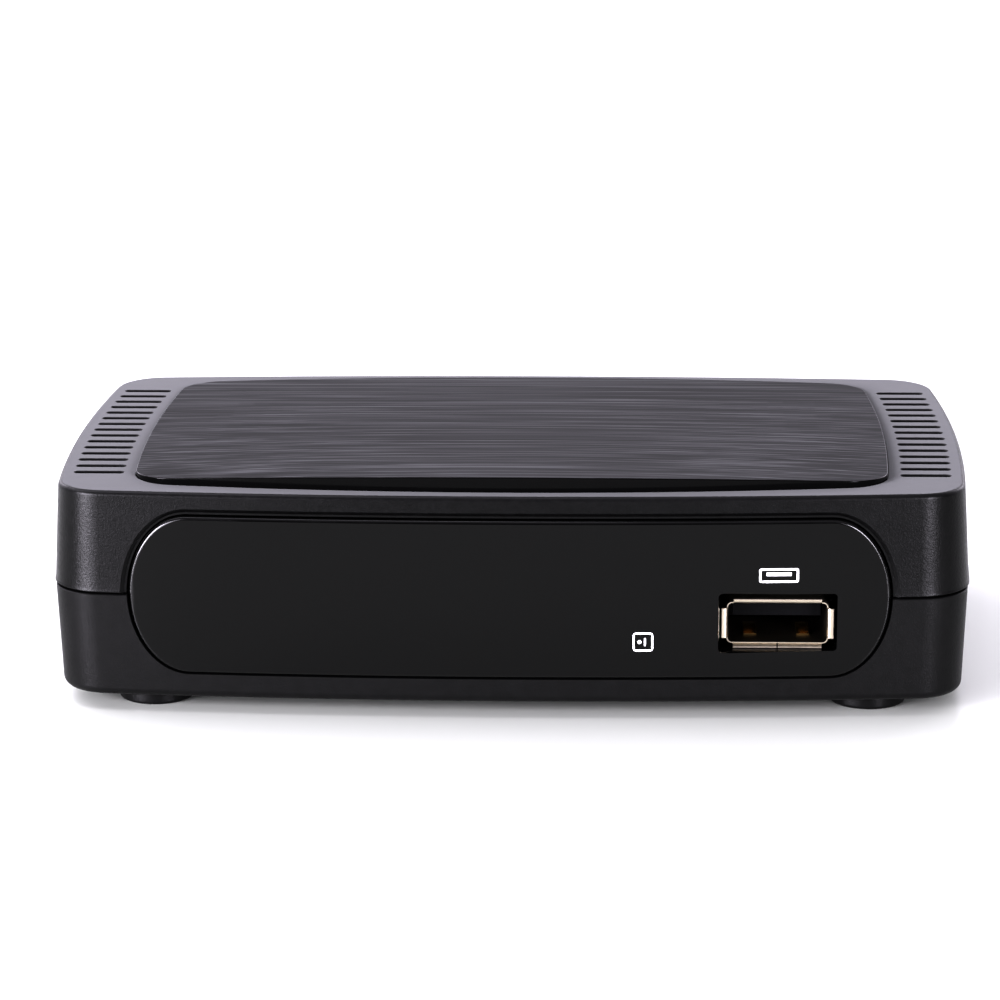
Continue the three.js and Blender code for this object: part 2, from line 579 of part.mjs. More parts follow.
/** Metal barrel of an aerial socket, with the flange that seats it on the tuner. */
function aerialBarrel(x, outer) {
  const inner = outer - 0.6;
  const [y0, y1] = [TUNER.backY + SNUG, REAR_Y + REAR_REACH];
  return turned(x, SOCKET_Z, [
    [1.8, y0], [6.0, y0], [6.0, y0 + 1.4], [outer, y0 + 1.4], [outer, y1 - 0.4], [outer - 0.3, y1],
    [inner, y1], [inner, y0 + 2.4], [1.8, y0 + 2.4], [1.8, y0],
  ], 24);
}

function aerialInsulator(x, outer) {
  const y0 = TUNER.backY + SNUG + 2.4 + SNUG;
  const radius = outer - 0.6 - GAP;
  return turned(x, SOCKET_Z, [[1.6, y0], [radius, y0], [radius, y0 + 3], [1.6, y0 + 3], [1.6, y0]]);
}

/** Centre contact: a split tube in the inlet and a plain pin in the outlet. */
function aerialContact(x, isTube) {
  const [y0, y1] = [TUNER.backY + GAP, REAR_Y + REAR_REACH - 1.2];
  if (isTube) {
    return turned(x, SOCKET_Z, [[0, y0], [1.3, y0], [1.3, y1], [0.9, y1], [0.9, y1 - 6], [0, y1 - 6]], 16);
  }
  return turned(x, SOCKET_Z, [[0, y0], [1.15, y0], [1.15, y1 - 0.8], [0.5, y1], [0, y1]], 16);
}

/** Ring of a video socket: a rectangle whose lower corners are cut back. */
function videoRing(y, inset) {
  const [w, h] = [VIDEO.width / 2 - inset, VIDEO.height / 2 - inset];
  const z = BOARD.topZ + VIDEO.height / 2;
  const half = [[0, h], [w, h], [w, -h * 0.1], [w - 1.6, -h], [0, -h]];
  const points = half.map(([dx, dz]) => new THREE.Vector3(VIDEO.x + dx, y, z + dz));
  return closedRing(points, (p) => new THREE.Vector3(2 * VIDEO.x - p.x, p.y, p.z));
}

const VIDEO_BACK_Y = LOWER_REAR_Y + 0.6;

function videoShell() {
  const outer = loft([videoRing(VIDEO.frontY, 0), videoRing(VIDEO_BACK_Y, 0)]);
  const inner = loft([videoRing(VIDEO.frontY + VIDEO.sheet, VIDEO.sheet), videoRing(40, VIDEO.sheet)]);
  return cut(outer, inner);
}

function videoTongue() {
  const y0 = VIDEO.frontY + VIDEO.sheet + SNUG;
  const z = BOARD.topZ + VIDEO.height / 2;
  const base = loft([videoRing(y0, VIDEO.sheet + 0.15), videoRing(y0 + 3, VIDEO.sheet + 0.15)]);
  const blade = block(VIDEO.x - 5.8, VIDEO.x + 5.8, y0 + 1, VIDEO_BACK_Y - 1.0, z - 0.1, z + 0.9);
  return joined(base, blade);
}

function avJackBody() {
  const { x, z } = AV_JACK;
  const body = block(x - 3.1, x + 3.1, AV_JACK.frontY, AV_JACK.backY, BOARD.topZ, z + 2.9);
  return cut(body, bar(x, z, AV_JACK.bore, AV_JACK.frontY + 2, AV_JACK.backY + 9, 16));
}

function avJackNose() {
  const { x, z, bore, nose, reach } = AV_JACK;
  const [y0, y1] = [AV_JACK.backY + SNUG, LOWER_REAR_Y + reach];
  return turned(x, z, [[bore, y0], [nose, y0], [nose, y1 - 0.3], [nose - 0.3, y1], [bore, y1], [bore, y0]]);
}

function powerJackBody() {
  const { x, width, height, bore } = POWER_JACK;
  const body = block(x - width / 2, x + width / 2, 20.5, REAR_Y - 0.4, BOARD.topZ, SOCKET_Z + height / 2);
  return cut(body, bar(x, SOCKET_Z, bore, 24, 40));
}

function powerJackPin() {
  const { x, pin } = POWER_JACK;
  const [y0, y1] = [24 + SNUG, REAR_Y - 1.6];
  return turned(x, SOCKET_Z, [[0, y0], [2.2, y0], [2.2, y0 + 0.8], [pin, y0 + 0.8], [pin, y1 - 0.6],
    [pin - 0.5, y1], [0, y1]], 16);
}

// ---------------------------------------------------------------- assembly

const recorder = new THREE.Group();
const caseGroup = new THREE.Group();
caseGroup.position.set(0, CASE_Y, 0);
recorder.add(caseGroup);

function add(name, shape, look) {
  const mesh = new THREE.Mesh(geometryOf(shape), look);
  mesh.name = name;
  caseGroup.add(mesh);
}

add("top_shell", topShell(), SHELL_BLACK);
add("bottom_shell", bottomShell(), SHELL_BLACK);
add("cover_plate", coverPlate(), PLATE_GREY);
add("front_window", frontWindow(), WINDOW_BLACK);
footPlaces.forEach(([name, x, y]) => add(name, foot(x, y), RUBBER));
bossPlaces.forEach(([x, y], i) => add(`case_screw_${i + 1}`, caseScrew(x, y), SCREW_BLACK));

add("main_board", mainBoard(), BOARD_GREEN);
boardScrewPlaces.forEach(([x, y], i) => add(`board_screw_${i + 1}`, boardScrew(x, y), STEEL));
add("main_processor", onBoard(PROCESSOR), CHIP_BLACK);
add("thermal_pad", onBoard(THERMAL_PAD, PROCESSOR.height), PAD_BLUE);
add("heatsink", heatsink(), ALUMINIUM);
add("memory_chip", onBoard(MEMORY), CHIP_BLACK);
add("flash_chip", onBoard(FLASH), CHIP_BLACK);
add("regulator_chip", onBoard(REGULATOR), CHIP_BLACK);
add("crystal", onBoard(CRYSTAL), TIN);
INDUCTORS.forEach((place, i) => add(`inductor_${i + 1}`, onBoard(place), CHIP_BLACK));
CAPACITORS.forEach((place, i) => add(`capacitor_${i + 1}`, capacitor(place), CAN_SLEEVE));
add("ir_receiver", irReceiver(), CHIP_BLACK);
add("ir_receiver_cage", irCage(), TIN);
add("status_led", statusLed(), LED_CLEAR);
add("status_led_holder", ledHolder(), BLACK_PLASTIC);

add("usb_shell", usbShell(), STEEL);
add("usb_insulator", usbInsulator(), BLACK_PLASTIC);
CONTACT.pitches.forEach((dx, i) => add(`usb_contact_${i + 1}`, usbContact(dx), GOLD));

add("tuner_can", tunerCan(), TIN);
["aerial_in", "aerial_out"].forEach((name, i) => {
  add(`${name}_barrel`, aerialBarrel(AERIAL.xs[i], AERIAL.outer[i]), STEEL);
  add(`${name}_insulator`, aerialInsulator(AERIAL.xs[i], AERIAL.outer[i]), WHITE_PLASTIC);
  add(`${name}_contact`, aerialContact(AERIAL.xs[i], i === 0), GOLD);
});
add("video_socket_shell", videoShell(), STEEL);
add("video_socket_tongue", videoTongue(), BLACK_PLASTIC);
add("av_jack_body", avJackBody(), BLACK_PLASTIC);
add("av_jack_nose", avJackNose(), GOLD);
add("power_jack_body", powerJackBody(), BLACK_PLASTIC);
add("power_jack_pin", powerJackPin(), STEEL);

export default recorder;
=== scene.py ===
"""Looks of a small set-top recorder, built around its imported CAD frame. Units are metres."""

import json
from math import atan2, cos, hypot, pi, radians, sin, sqrt

import bmesh
import bpy
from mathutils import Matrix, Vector

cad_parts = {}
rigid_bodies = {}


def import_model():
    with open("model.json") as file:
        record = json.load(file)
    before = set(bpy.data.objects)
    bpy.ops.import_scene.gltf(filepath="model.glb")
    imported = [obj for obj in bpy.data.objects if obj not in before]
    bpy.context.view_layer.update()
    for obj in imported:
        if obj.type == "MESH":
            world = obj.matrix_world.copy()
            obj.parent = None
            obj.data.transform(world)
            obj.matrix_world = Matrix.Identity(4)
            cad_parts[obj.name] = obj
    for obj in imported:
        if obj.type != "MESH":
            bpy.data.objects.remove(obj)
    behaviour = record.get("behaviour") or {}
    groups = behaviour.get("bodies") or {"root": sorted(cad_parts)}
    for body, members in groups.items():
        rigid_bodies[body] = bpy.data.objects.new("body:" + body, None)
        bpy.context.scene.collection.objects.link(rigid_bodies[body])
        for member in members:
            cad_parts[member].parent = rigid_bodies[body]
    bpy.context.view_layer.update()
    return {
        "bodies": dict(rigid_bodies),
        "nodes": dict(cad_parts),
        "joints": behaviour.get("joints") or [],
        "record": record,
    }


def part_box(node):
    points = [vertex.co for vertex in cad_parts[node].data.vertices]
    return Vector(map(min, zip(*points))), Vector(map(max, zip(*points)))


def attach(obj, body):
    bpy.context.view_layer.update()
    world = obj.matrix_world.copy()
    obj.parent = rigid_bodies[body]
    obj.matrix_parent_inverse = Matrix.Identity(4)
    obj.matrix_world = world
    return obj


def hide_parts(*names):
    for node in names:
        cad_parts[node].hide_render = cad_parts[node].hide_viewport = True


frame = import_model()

MM = 0.001
NODES = frame["nodes"]
SCENE = bpy.context.scene

# ------------------------ sizes from the frame

PLATE_LO, PLATE_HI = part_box("cover_plate")
TOP_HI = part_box("top_shell")[1]
LOW_LO, LOW_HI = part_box("bottom_shell")
WINDOW_LO, WINDOW_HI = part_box("front_window")
USB_LO, USB_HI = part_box("usb_shell")
CASE_Y = (PLATE_LO.y + PLATE_HI.y) / 2

FLARE = 0.78 * MM  # spread of the top shell from its rim down to the split
WALL = 2.0 * MM  # thickness of both shells
RIM_Z = TOP_HI.z
RIM = {
    "half_x": TOP_HI.x - FLARE,
    "half_y": TOP_HI.y - CASE_Y - FLARE,
    "side_bow": 300 * MM,
    "front_bow": 600 * MM,
    "back_bow": 860 * MM,
    "corner": 6.5 * MM,
}
SPLIT_TOP_Z = 15.87 * MM  # lower edge of the top shell
SPLIT_BOTTOM_Z = 15.6 * MM  # upper edge of the bottom shell, with the dark line between them
LOWER_TOP = {**RIM, "half_x": LOW_HI.x, "half_y": LOW_HI.y - CASE_Y}
LOWER_BASE = {**RIM, "half_x": LOW_HI.x - 0.47 * MM, "half_y": LOW_HI.y - CASE_Y - 0.55 * MM}
UNDERSIDE_Z = LOW_LO.z
LIP_Z = LOW_HI.z
PLATE = {  # drawn a quarter turn round: its half_x runs from front to back
    "half_x": (PLATE_HI.y - PLATE_LO.y) / 2,
    "half_y": PLATE_HI.x,
    "side_bow": 305 * MM,
    "front_bow": 305 * MM,
    "back_bow": 305 * MM,
    "corner": 6.0 * MM,
}
PLATE_FRONT_RISE = PLATE_HI.z - RIM_Z
PLATE_BACK_RISE = 0.25 * MM
PLATE_CROWN = 900 * MM
FLANGE = 0.65 * MM  # how far the window's rear flange stands out past its outline
WINDOW_HALF_X = WINDOW_HI.x - FLANGE
WINDOW_HALF_Z = (WINDOW_HI.z - WINDOW_LO.z) / 2 - FLANGE
WINDOW_END_X = 7.7 * MM  # half width of the ellipse at each end of the window
WINDOW_Z = (WINDOW_HI.z + WINDOW_LO.z) / 2
GAP = 0.3 * MM  # clearance round the sockets and feet
SEAM = 0.09 * MM  # gap between the window and the bottom shell
WINDOW_GAP = 0.16 * MM  # gap between the window and the top shell
PORT_X, PORT_Z = (USB_LO.x + USB_HI.x) / 2, (USB_LO.z + USB_HI.z) / 2
PORT_HALF_X, PORT_HALF_Z = 6.25 * MM, 2.56 * MM  # half of the data port's opening
VENTS = 15  # roof slots on each side
VENT_PITCH, VENT_LENGTH, VENT_WIDTH = 3.254 * MM, 6.4 * MM, 1.05 * MM
VENT_FIRST_Y = -22.23 * MM  # nearest slot to the front, from the middle of the case
VENT_MARGIN = 1.8 * MM  # from a slot's outer end to the rim
UNDER_VENTS, UNDER_VENT_PITCH = 7, 4.5 * MM
UNDER_VENT_X, UNDER_VENT_LENGTH, UNDER_VENT_WIDTH = 12 * MM, 16 * MM, 1.6 * MM

# ------------------------ outlines


def arc(centre, radius, start, end, steps):
    """Points along an arc, without its last point."""
    angles = [start + (end - start) * i / steps for i in range(steps)]
    return [(centre[0] + radius * cos(a), centre[1] + radius * sin(a)) for a in angles]


def meeting(side_x, side_radius, end_y, end_radius, sign):
    """Where a circle centred on the X axis meets one on the Y axis, at x > 0 and on sign's side."""
    gap = hypot(side_x, end_y)
    along = (side_radius**2 - end_radius**2 + gap**2) / (2 * gap)
    off = sqrt(side_radius**2 - along**2)
    ux, uy = -side_x / gap, end_y / gap
    for turn in (1, -1):
        x = side_x + ux * along - turn * uy * off
        y = uy * along + turn * ux * off
        if x > 0 and y * sign > 0:
            return x, y


def bowed_half(outline, grow, end_steps, corner_steps, side_steps):
    """Right-hand half of a bowed rectangle with round corners, moved outwards by grow."""
    side_bow, front_bow, back_bow = outline["side_bow"], outline["front_bow"], outline["back_bow"]
    corner = outline["corner"]
    side = (outline["half_x"] - side_bow, 0)
    front = (0, front_bow - outline["half_y"])
    back = (0, outline["half_y"] - back_bow)
    front_corner = meeting(side[0], side_bow - corner, front[1], front_bow - corner, -1)
    back_corner = meeting(side[0], side_bow - corner, back[1], back_bow - corner, 1)

    def angle(a, b):
        return atan2(b[1] - a[1], b[0] - a[0])

    at_front, at_side_front = angle(front, front_corner), angle(side, front_corner)
    at_side_back, at_back = angle(side, back_corner), angle(back, back_corner)
    return [
        *arc(front, front_bow + grow, -pi / 2, at_front, end_steps),
        *arc(front_corner, corner + grow, at_front, at_side_front, corner_steps),
        *arc(side, side_bow + grow, at_side_front, at_side_back, side_steps),
        *arc(back_corner, corner + grow, at_side_back, at_back, corner_steps),
        *arc(back, back_bow + grow, at_back, pi / 2, end_steps),
        (0, outline["half_y"] + grow),
    ]


def case_ring(z, grow, outline=RIM):
    half = bowed_half(outline, grow, end_steps=24, corner_steps=14, side_steps=18)
    points = half + [(-x, y) for x, y in reversed(half[1:-1])]
    return [Vector((x, y + CASE_Y, z)) for x, y in points]


def plate_ring(grow, height):
    """Plate outline, symmetric front to back, so that strips can join mirrored points."""
    half = bowed_half(PLATE, grow, end_steps=14, corner_steps=14, side_steps=40)
    points = [(x, y) for y, x in half + [(-a, b) for a, b in reversed(half[1:-1])]]
    return [Vector((x, y + CASE_Y, height(x, y))) for x, y in points]


def plate_top(x, y):
    """The plate's top is ruled from its crowned front edge to its almost level back edge."""
    front = PLATE_FRONT_RISE - x**2 / (2 * PLATE_CROWN)
    along = (y + PLATE["half_x"]) / (2 * PLATE["half_x"])
    return RIM_Z + front + (PLATE_BACK_RISE - front) * along


def window_y(x):
    return WINDOW_LO.y + x**2 / (2 * RIM["front_bow"])


def window_outline(grow, steps=18, straight=32):
    """Window outline in front view, with elliptical ends: its upper half, then the mirror of it."""
    flat_x, high = WINDOW_HALF_X - WINDOW_END_X, WINDOW_HALF_Z + grow
    end = [(flat_x + (WINDOW_END_X + grow) * x, high * z) for x, z in arc((0, 0), 1, 0, pi / 2, steps)]
    half = end + [(flat_x - 2 * flat_x * i / straight, high) for i in range(straight + 1)]
    half += [(-x, z) for x, z in reversed(end)]
    return half + [(x, -z) for x, z in reversed(half[1:-1])]


def window_ring(depth, grow):
    return [Vector((x, window_y(x) + depth, WINDOW_Z + z)) for x, z in window_outline(grow)]


def wall_ring(depth, grow):
    """Window outline laid on the front wall of the top shell, which leans with its flare."""
    ring = []
    for x, z in window_outline(grow):
        spread = FLARE * (RIM_Z - WINDOW_Z - z) / (RIM_Z - SPLIT_TOP_Z)
        y = CASE_Y - RIM["half_y"] - spread + x**2 / (2 * RIM["front_bow"])
        ring.append(Vector((x, y + depth, WINDOW_Z + z)))
    return ring


def box_ring(centre, half_x, half_z, radius, y, steps=5):
    """Round-cornered rectangle in front view."""
    ring = []
    for i, (sx, sz) in enumerate(((1, 1), (-1, 1), (-1, -1), (1, -1))):
        corner = (centre[0] + sx * (half_x - radius), centre[1] + sz * (half_z - radius))
        start = i * pi / 2
        ring += arc(corner, radius, start, start + pi / 2, steps)
        ring.append((corner[0] + radius * cos(start + pi / 2), corner[1] + radius * sin(start + pi / 2)))
    return [Vector((x, y, z)) for x, z in ring]


# ------------------------ mesh making


def mesh_object(name, vertices, faces):
    mesh = bpy.data.meshes.new(name)
    mesh.from_pydata([tuple(v) for v in vertices], [], faces)
    work = bmesh.new()
    work.from_mesh(mesh)
    bmesh.ops.remove_doubles(work, verts=work.verts, dist=1e-7)
    bmesh.ops.recalc_face_normals(work, faces=work.faces)
    work.to_mesh(mesh)
    work.free()
    piece = bpy.data.objects.new(name, mesh)
    SCENE.collection.objects.link(piece)
    return piece


def skin(rings, closed=False):
    """Quads between rings of equally many points."""
    count = len(rings[0])
    pairs = list(zip(range(len(rings)), range(1, len(rings))))
    if closed:
        pairs.append((len(rings) - 1, 0))
    faces = []
    for a, b in pairs:
        for i in range(count):
            j = (i + 1) % count
            faces.append((a * count + i, a * count + j, b * count + j, b * count + i))
    return faces


def loft(name, rings, closed=False, strips=False):
    """Solid through rings; its ends are closed by flat faces, or by strips between mirrored points."""
    count = len(rings[0])
    faces = skin(rings, closed)
    last = (len(rings) - 1) * count
    if strips:
        for i in range(count // 2):
            strip = [i, i + 1, (count - i - 1) % count, (count - i) % count]
            strip = list(dict.fromkeys(strip))
            faces.append(tuple(strip))
            faces.append(tuple(last + v for v in reversed(strip)))
    elif not closed:
        faces.append(tuple(range(count)))
        faces.append(tuple(last + i for i in reversed(range(count))))
    return mesh_object(name, [v for ring in rings for v in ring], faces)


def turned(name, profile, centre, axis="y", segments=64):
    """Solid of revolution about a line along axis through centre; profile is (radius, along) pairs."""
    vertices, rings = [], []
    for radius, along in profile:
        count = segments if radius > 0 else 1
        rings.append(list(range(len(vertices), len(vertices) + count)))
        for i in range(count):
            turn = 2 * pi * i / segments
            a, b = radius * cos(turn), radius * sin(turn)
            offset = (a, along, b) if axis == "y" else (a, b, along)
            vertices.append(Vector(centre) + Vector(offset))
    pairs = list(zip(rings, rings[1:]))
    if profile[0][0] > 0:
        pairs.append((rings[-1], rings[0]))
    faces = []
    for low, high in pairs:
        for i in range(segments):
            j = (i + 1) % segments
            corners = [low[i % len(low)], low[j % len(low)], high[j % len(high)], high[i % len(high)]]
            face = tuple(dict.fromkeys(corners))
            if len(face) > 2:
                faces.append(face)
    return mesh_object(name, vertices, faces)


def rounded(profile, radius, steps=4):
    """Rounds the corners of a turned profile that starts and ends on its axis."""
    result = [profile[0]]
    for before, here, after in zip(profile, profile[1:], profile[2:]):
        a, b, c = Vector(before), Vector(here), Vector(after)
        reach = min(radius, (a - b).length / 2, (c - b).length / 2)
        start, end = b + (a - b).normalized() * reach, b + (c - b).normalized() * reach
        for i in range(steps + 1):
            t = i / steps
            point = start * (1 - t) ** 2 + b * 2 * t * (1 - t) + end * t**2
            result.append((point.x, point.y))
    return result + [profile[-1]]


def carve(piece, *cutters):
    """Cuts the cutters out of the piece and removes them."""
    for cutter in cutters:
        change = piece.modifiers.new("cut", "BOOLEAN")
        change.operation = "DIFFERENCE"
        change.solver = "EXACT"
        change.object = cutter
    graph = bpy.context.evaluated_depsgraph_get()
    mesh = bpy.data.meshes.new_from_object(piece.evaluated_get(graph))
    piece.modifiers.clear()
    piece.data = mesh
    for cutter in cutters:
        bpy.data.objects.remove(cutter)


def united(name, *pieces):
    """One object holding the meshes of several that don't touch."""
    work = bmesh.new()
    for piece in pieces:
        work.from_mesh(piece.data)
        bpy.data.objects.remove(piece)
    mesh = bpy.data.meshes.new(name)
    work.to_mesh(mesh)
    work.free()
    whole = bpy.data.objects.new(name, mesh)
    SCENE.collection.objects.link(whole)
    return whole


def ease_edges(piece, width):
    bevel = piece.modifiers.new("eased edges", "BEVEL")
    bevel.width = width
    bevel.segments = 2
    bevel.limit_method = "ANGLE"
    bevel.angle_limit = radians(40)
    bevel.harden_normals = False


def smooth(piece, degrees=32):
    """Smooth shading between faces that meet at less than the angle, led by the large faces."""
    for polygon in piece.data.polygons:
        polygon.use_smooth = True
    piece.data.set_sharp_from_angle(angle=radians(degrees))
    weigh = piece.modifiers.new("even shading", "WEIGHTED_NORMAL")
    weigh.keep_sharp = True


def dress(piece, material, body="case", replaces=(), degrees=32):
    """Shades a new piece, gives it its material and ties it to the frame."""
    piece.data.materials.clear()
    piece.data.materials.append(material)
    smooth(piece, degrees)
    if replaces:
        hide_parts(*replaces)
    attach(piece, body)


def cylinder_cutter(centre, radius, y0, y1):
    return turned("cutter", [(0, y0), (radius, y0), (radius, y1), (0, y1)], centre, "y", 48)


def upright_cutter(x, y, radius, z0, z1):
    return turned("cutter", [(0, z0), (radius, z0), (radius, z1), (0, z1)], (x, y, 0), "z", 48)


# ------------------------ materials


class Paint:
    """A Principled material and short ways to add procedural detail to it."""

    def __init__(self, name, color, roughness, metallic=0.0, **sockets):
        self.material = bpy.data.materials.new(name)
        self.material.use_nodes = True
        self.tree = self.material.node_tree
        self.shader = self.tree.nodes["Principled BSDF"]
        values = {"Base Color": (*color, 1), "Roughness": roughness, "Metallic": metallic}
        for socket, value in {**values, **sockets}.items():
            self.shader.inputs[socket].default_value = value
        self.coordinates = self.tree.nodes.new("ShaderNodeTexCoord").outputs["Object"]

    def noise(self, scale, detail=2.0):
        """Noise over the object; scale is features per metre, along X, Y and Z or the same all round."""
        scale = scale if isinstance(scale, tuple) else (scale,) * 3
        mapping = self.tree.nodes.new("ShaderNodeMapping")
        mapping.inputs["Scale"].default_value = scale
        self.tree.links.new(self.coordinates, mapping.inputs["Vector"])
        texture = self.tree.nodes.new("ShaderNodeTexNoise")
        texture.inputs["Scale"].default_value = 1.0
        texture.inputs["Detail"].default_value = detail
        texture.inputs["Roughness"].default_value = 0.5
        self.tree.links.new(mapping.outputs["Vector"], texture.inputs["Vector"])
        return texture.outputs["Fac"]

    def ramp(self, factor, *stops):
        node = self.tree.nodes.new("ShaderNodeValToRGB")
        ramp = node.color_ramp
        ramp.elements[0].position, ramp.elements[0].color = stops[0][0], (*stops[0][1], 1)
        ramp.elements[1].position, ramp.elements[1].color = stops[-1][0], (*stops[-1][1], 1)
        for position, color in stops[1:-1]:
            ramp.elements.new(position).color = (*color, 1)
        self.tree.links.new(factor, node.inputs["Fac"])
        return node.outputs["Color"]

    def mixed(self, a, b, share):
        """Blend of two heights."""
        node = self.tree.nodes.new("ShaderNodeMix")
        node.data_type = "FLOAT"
        node.inputs["Factor"].default_value = share
        self.tree.links.new(a, node.inputs["A"])
        self.tree.links.new(b, node.inputs["B"])
        return node.outputs["Result"]

    def spread(self, factor, low, high):
        """Maps noise to a range of values."""
        node = self.tree.nodes.new("ShaderNodeMapRange")
        node.inputs["From Min"].default_value = 0.3
        node.inputs["From Max"].default_value = 0.7
        node.inputs["To Min"].default_value = low
        node.inputs["To Max"].default_value = high
        self.tree.links.new(factor, node.inputs["Value"])
        return node.outputs["Result"]

    def drive(self, socket, source):
        self.tree.links.new(source, self.shader.inputs[socket])

    def bump(self, height, strength, distance):
        node = self.tree.nodes.new("ShaderNodeBump")
        node.inputs["Strength"].default_value = strength
        node.inputs["Distance"].default_value = distance
        self.tree.links.new(height, node.inputs["Height"])
        self.tree.links.new(node.outputs["Normal"], self.shader.inputs["Normal"])


def grey(level):
    return (level, level, level * 1.04)


def shell_paint(name, grain, low, high, specular):
    """Moulded plastic with a fine spark texture."""
    paint = Paint(name, grey(0.004), 0.45, **{"Specular IOR Level": specular})
    coarse = paint.noise(2600, detail=2)
    fine = paint.noise(5200, detail=2)
    paint.drive("Base Color", paint.ramp(paint.noise(700, 4), (0.3, grey(0.003)), (0.7, grey(0.005))))
    paint.drive("Roughness", paint.spread(coarse, low, high))
    paint.bump(paint.mixed(coarse, fine, 0.4), grain, 0.10 * MM)
    return paint.material


def top_sheen_paint():
    """A lighter copy of the shell plastic with a finer, matt grain and a sheen: painted light, so that the
    top lightens when seen at a flat angle.
    """
    paint = Paint("shell_top_painted_sheen", grey(0.02), 0.4, **{
        "Specular IOR Level": 0.0, "Sheen Weight": 0.29, "Sheen Roughness": 0.5,
        "Sheen Tint": (0.97, 0.975, 0.99, 1)})
    fine = paint.noise(5000, detail=2)
    paint.drive("Base Color", paint.ramp(paint.noise(500, 4), (0.3, grey(0.018)), (0.7, grey(0.022))))
    paint.bump(fine, 0.2, 0.02 * MM)
    return paint.material


def plate_paint():
    """Dark film brushed from side to side, under a thin satin coat."""
    paint = Paint("plate_brushed", grey(0.08), 0.5, **{"Specular IOR Level": 0.15})
    hair = paint.noise((46, 4400, 4400), detail=2)
    stroke = paint.noise((22, 1900, 1900), detail=2)
    both = paint.mixed(hair, stroke, 0.55)
    paint.drive("Base Color", paint.ramp(both, (0.36, grey(0.004)), (0.5, grey(0.028)), (0.64, grey(0.11))))
    paint.drive("Roughness", paint.spread(both, 0.56, 0.70))
    paint.bump(both, 0.4, 0.05 * MM)
    return paint.material


def gloss_paint(name, level, roughness, specular):
    """Polished black plastic with faint waves and haze."""
    paint = Paint(name, grey(level), roughness, **{"Specular IOR Level": specular})
    haze = paint.noise(220, detail=3)
    paint.drive("Roughness", paint.spread(haze, roughness * 0.7, roughness * 1.6))
    paint.bump(paint.noise(90, detail=1), 0.05, 0.05 * MM)
    return paint.material


def rubber_paint():
    paint = Paint("foot_rubber", grey(0.005), 0.4, **{"Specular IOR Level": 0.25})
    paint.drive("Roughness", paint.spread(paint.noise(900, 3), 0.36, 0.48))
    paint.bump(paint.noise(5000, 2), 0.15, 0.02 * MM)
    return paint.material


def metal_paint(name, color, roughness, grain=3000, strength=0.12):
    """Plated or bare metal with fine marks and slightly uneven gloss."""
    paint = Paint(name, color, roughness, 1.0)
    dull = tuple(0.93 * c for c in color)
    paint.drive("Base Color", paint.ramp(paint.noise(1200, 3), (0.3, dull), (0.6, color)))
    paint.drive("Roughness", paint.spread(paint.noise(grain, 3), roughness * 0.9, roughness * 1.12))
    paint.bump(paint.noise((grain, grain * 0.2, grain), 2), strength, 0.01 * MM)
    return paint.material


def plastic_paint(name, color, roughness, grain=0.15, specular=0.5):
    """Plain moulded plastic or epoxy."""
    paint = Paint(name, color, roughness, **{"Specular IOR Level": specular})
    dark = tuple(0.85 * c for c in color)
    paint.drive("Base Color", paint.ramp(paint.noise(800, 3), (0.3, dark), (0.7, color)))
    paint.drive("Roughness", paint.spread(paint.noise(2500, 2), roughness * 0.85, roughness * 1.15))
    paint.bump(paint.noise(6000, 2), grain, 0.02 * MM)
    return paint.material


def board_paint():
    """Solder mask with copper runs that show through it as lighter lines."""
    paint = Paint("board_mask", (0.01, 0.08, 0.03), 0.35)
    runs = paint.tree.nodes.new("ShaderNodeTexBrick")
    runs.inputs["Scale"].default_value = 420
    runs.inputs["Mortar Size"].default_value = 0.03
    runs.inputs["Color1"].default_value = (0.008, 0.075, 0.026, 1)
    runs.inputs["Color2"].default_value = (0.010, 0.090, 0.032, 1)
    runs.inputs["Mortar"].default_value = (0.03, 0.16, 0.06, 1)
    paint.tree.links.new(paint.coordinates, runs.inputs["Vector"])
    paint.drive("Base Color", runs.outputs["Color"])
    paint.drive("Roughness", paint.spread(paint.noise(1500, 3), 0.28, 0.42))
    paint.bump(runs.outputs["Fac"], 0.2, 0.03 * MM)
    return paint.material


TOP_PLASTIC = shell_paint("shell_top_plastic", 0.30, 0.30, 0.40, 0.27)
# Roof faces: a lighter copy of the shell plastic with a sheen, painted light standing in for the light on
# the top.
TOP_PAINTED_SHEEN = top_sheen_paint()
LOWER_PLASTIC = shell_paint("shell_lower_plastic", 0.22, 0.42, 0.50, 0.28)
PLATE_TOP = plate_paint()
PLATE_EDGE = gloss_paint("plate_edge_gloss", 0.002, 0.10, 0.2)
WINDOW = gloss_paint("window_gloss", 0.0015, 0.05, 0.42)
WINDOW_EDGE = gloss_paint("window_edge_gloss", 0.0015, 0.13, 0.5)
RUBBER = rubber_paint()
PORT_STEEL = metal_paint("port_nickel", (0.66, 0.60, 0.50), 0.34, strength=0.04)
# Dark copy of the port metal: painted shade inside the port and on its lower lips.
PORT_PAINTED_SHADE = metal_paint("port_painted_shade", (0.16, 0.14, 0.11), 0.35)
SOCKET_METAL = metal_paint("socket_nickel", (0.50, 0.48, 0.45), 0.24, strength=0.04)
GOLD = metal_paint("contact_gold", (0.83, 0.58, 0.24), 0.22)
SCREW_BLACK = metal_paint("screw_black_zinc", (0.06, 0.06, 0.065), 0.32)
SCREW_STEEL = metal_paint("screw_zinc", (0.62, 0.61, 0.58), 0.28)
TIN = metal_paint("tin_plate", (0.66, 0.66, 0.64), 0.30, grain=1500)
ALUMINIUM = metal_paint("sink_aluminium", (0.55, 0.56, 0.58), 0.36, grain=1800)
WHITE = plastic_paint("white_plastic", (0.74, 0.73, 0.68), 0.45)
INK = plastic_paint("white_ink", (0.92, 0.92, 0.92), 0.5)
BLACK = plastic_paint("black_plastic", (0.014, 0.014, 0.015), 0.4)
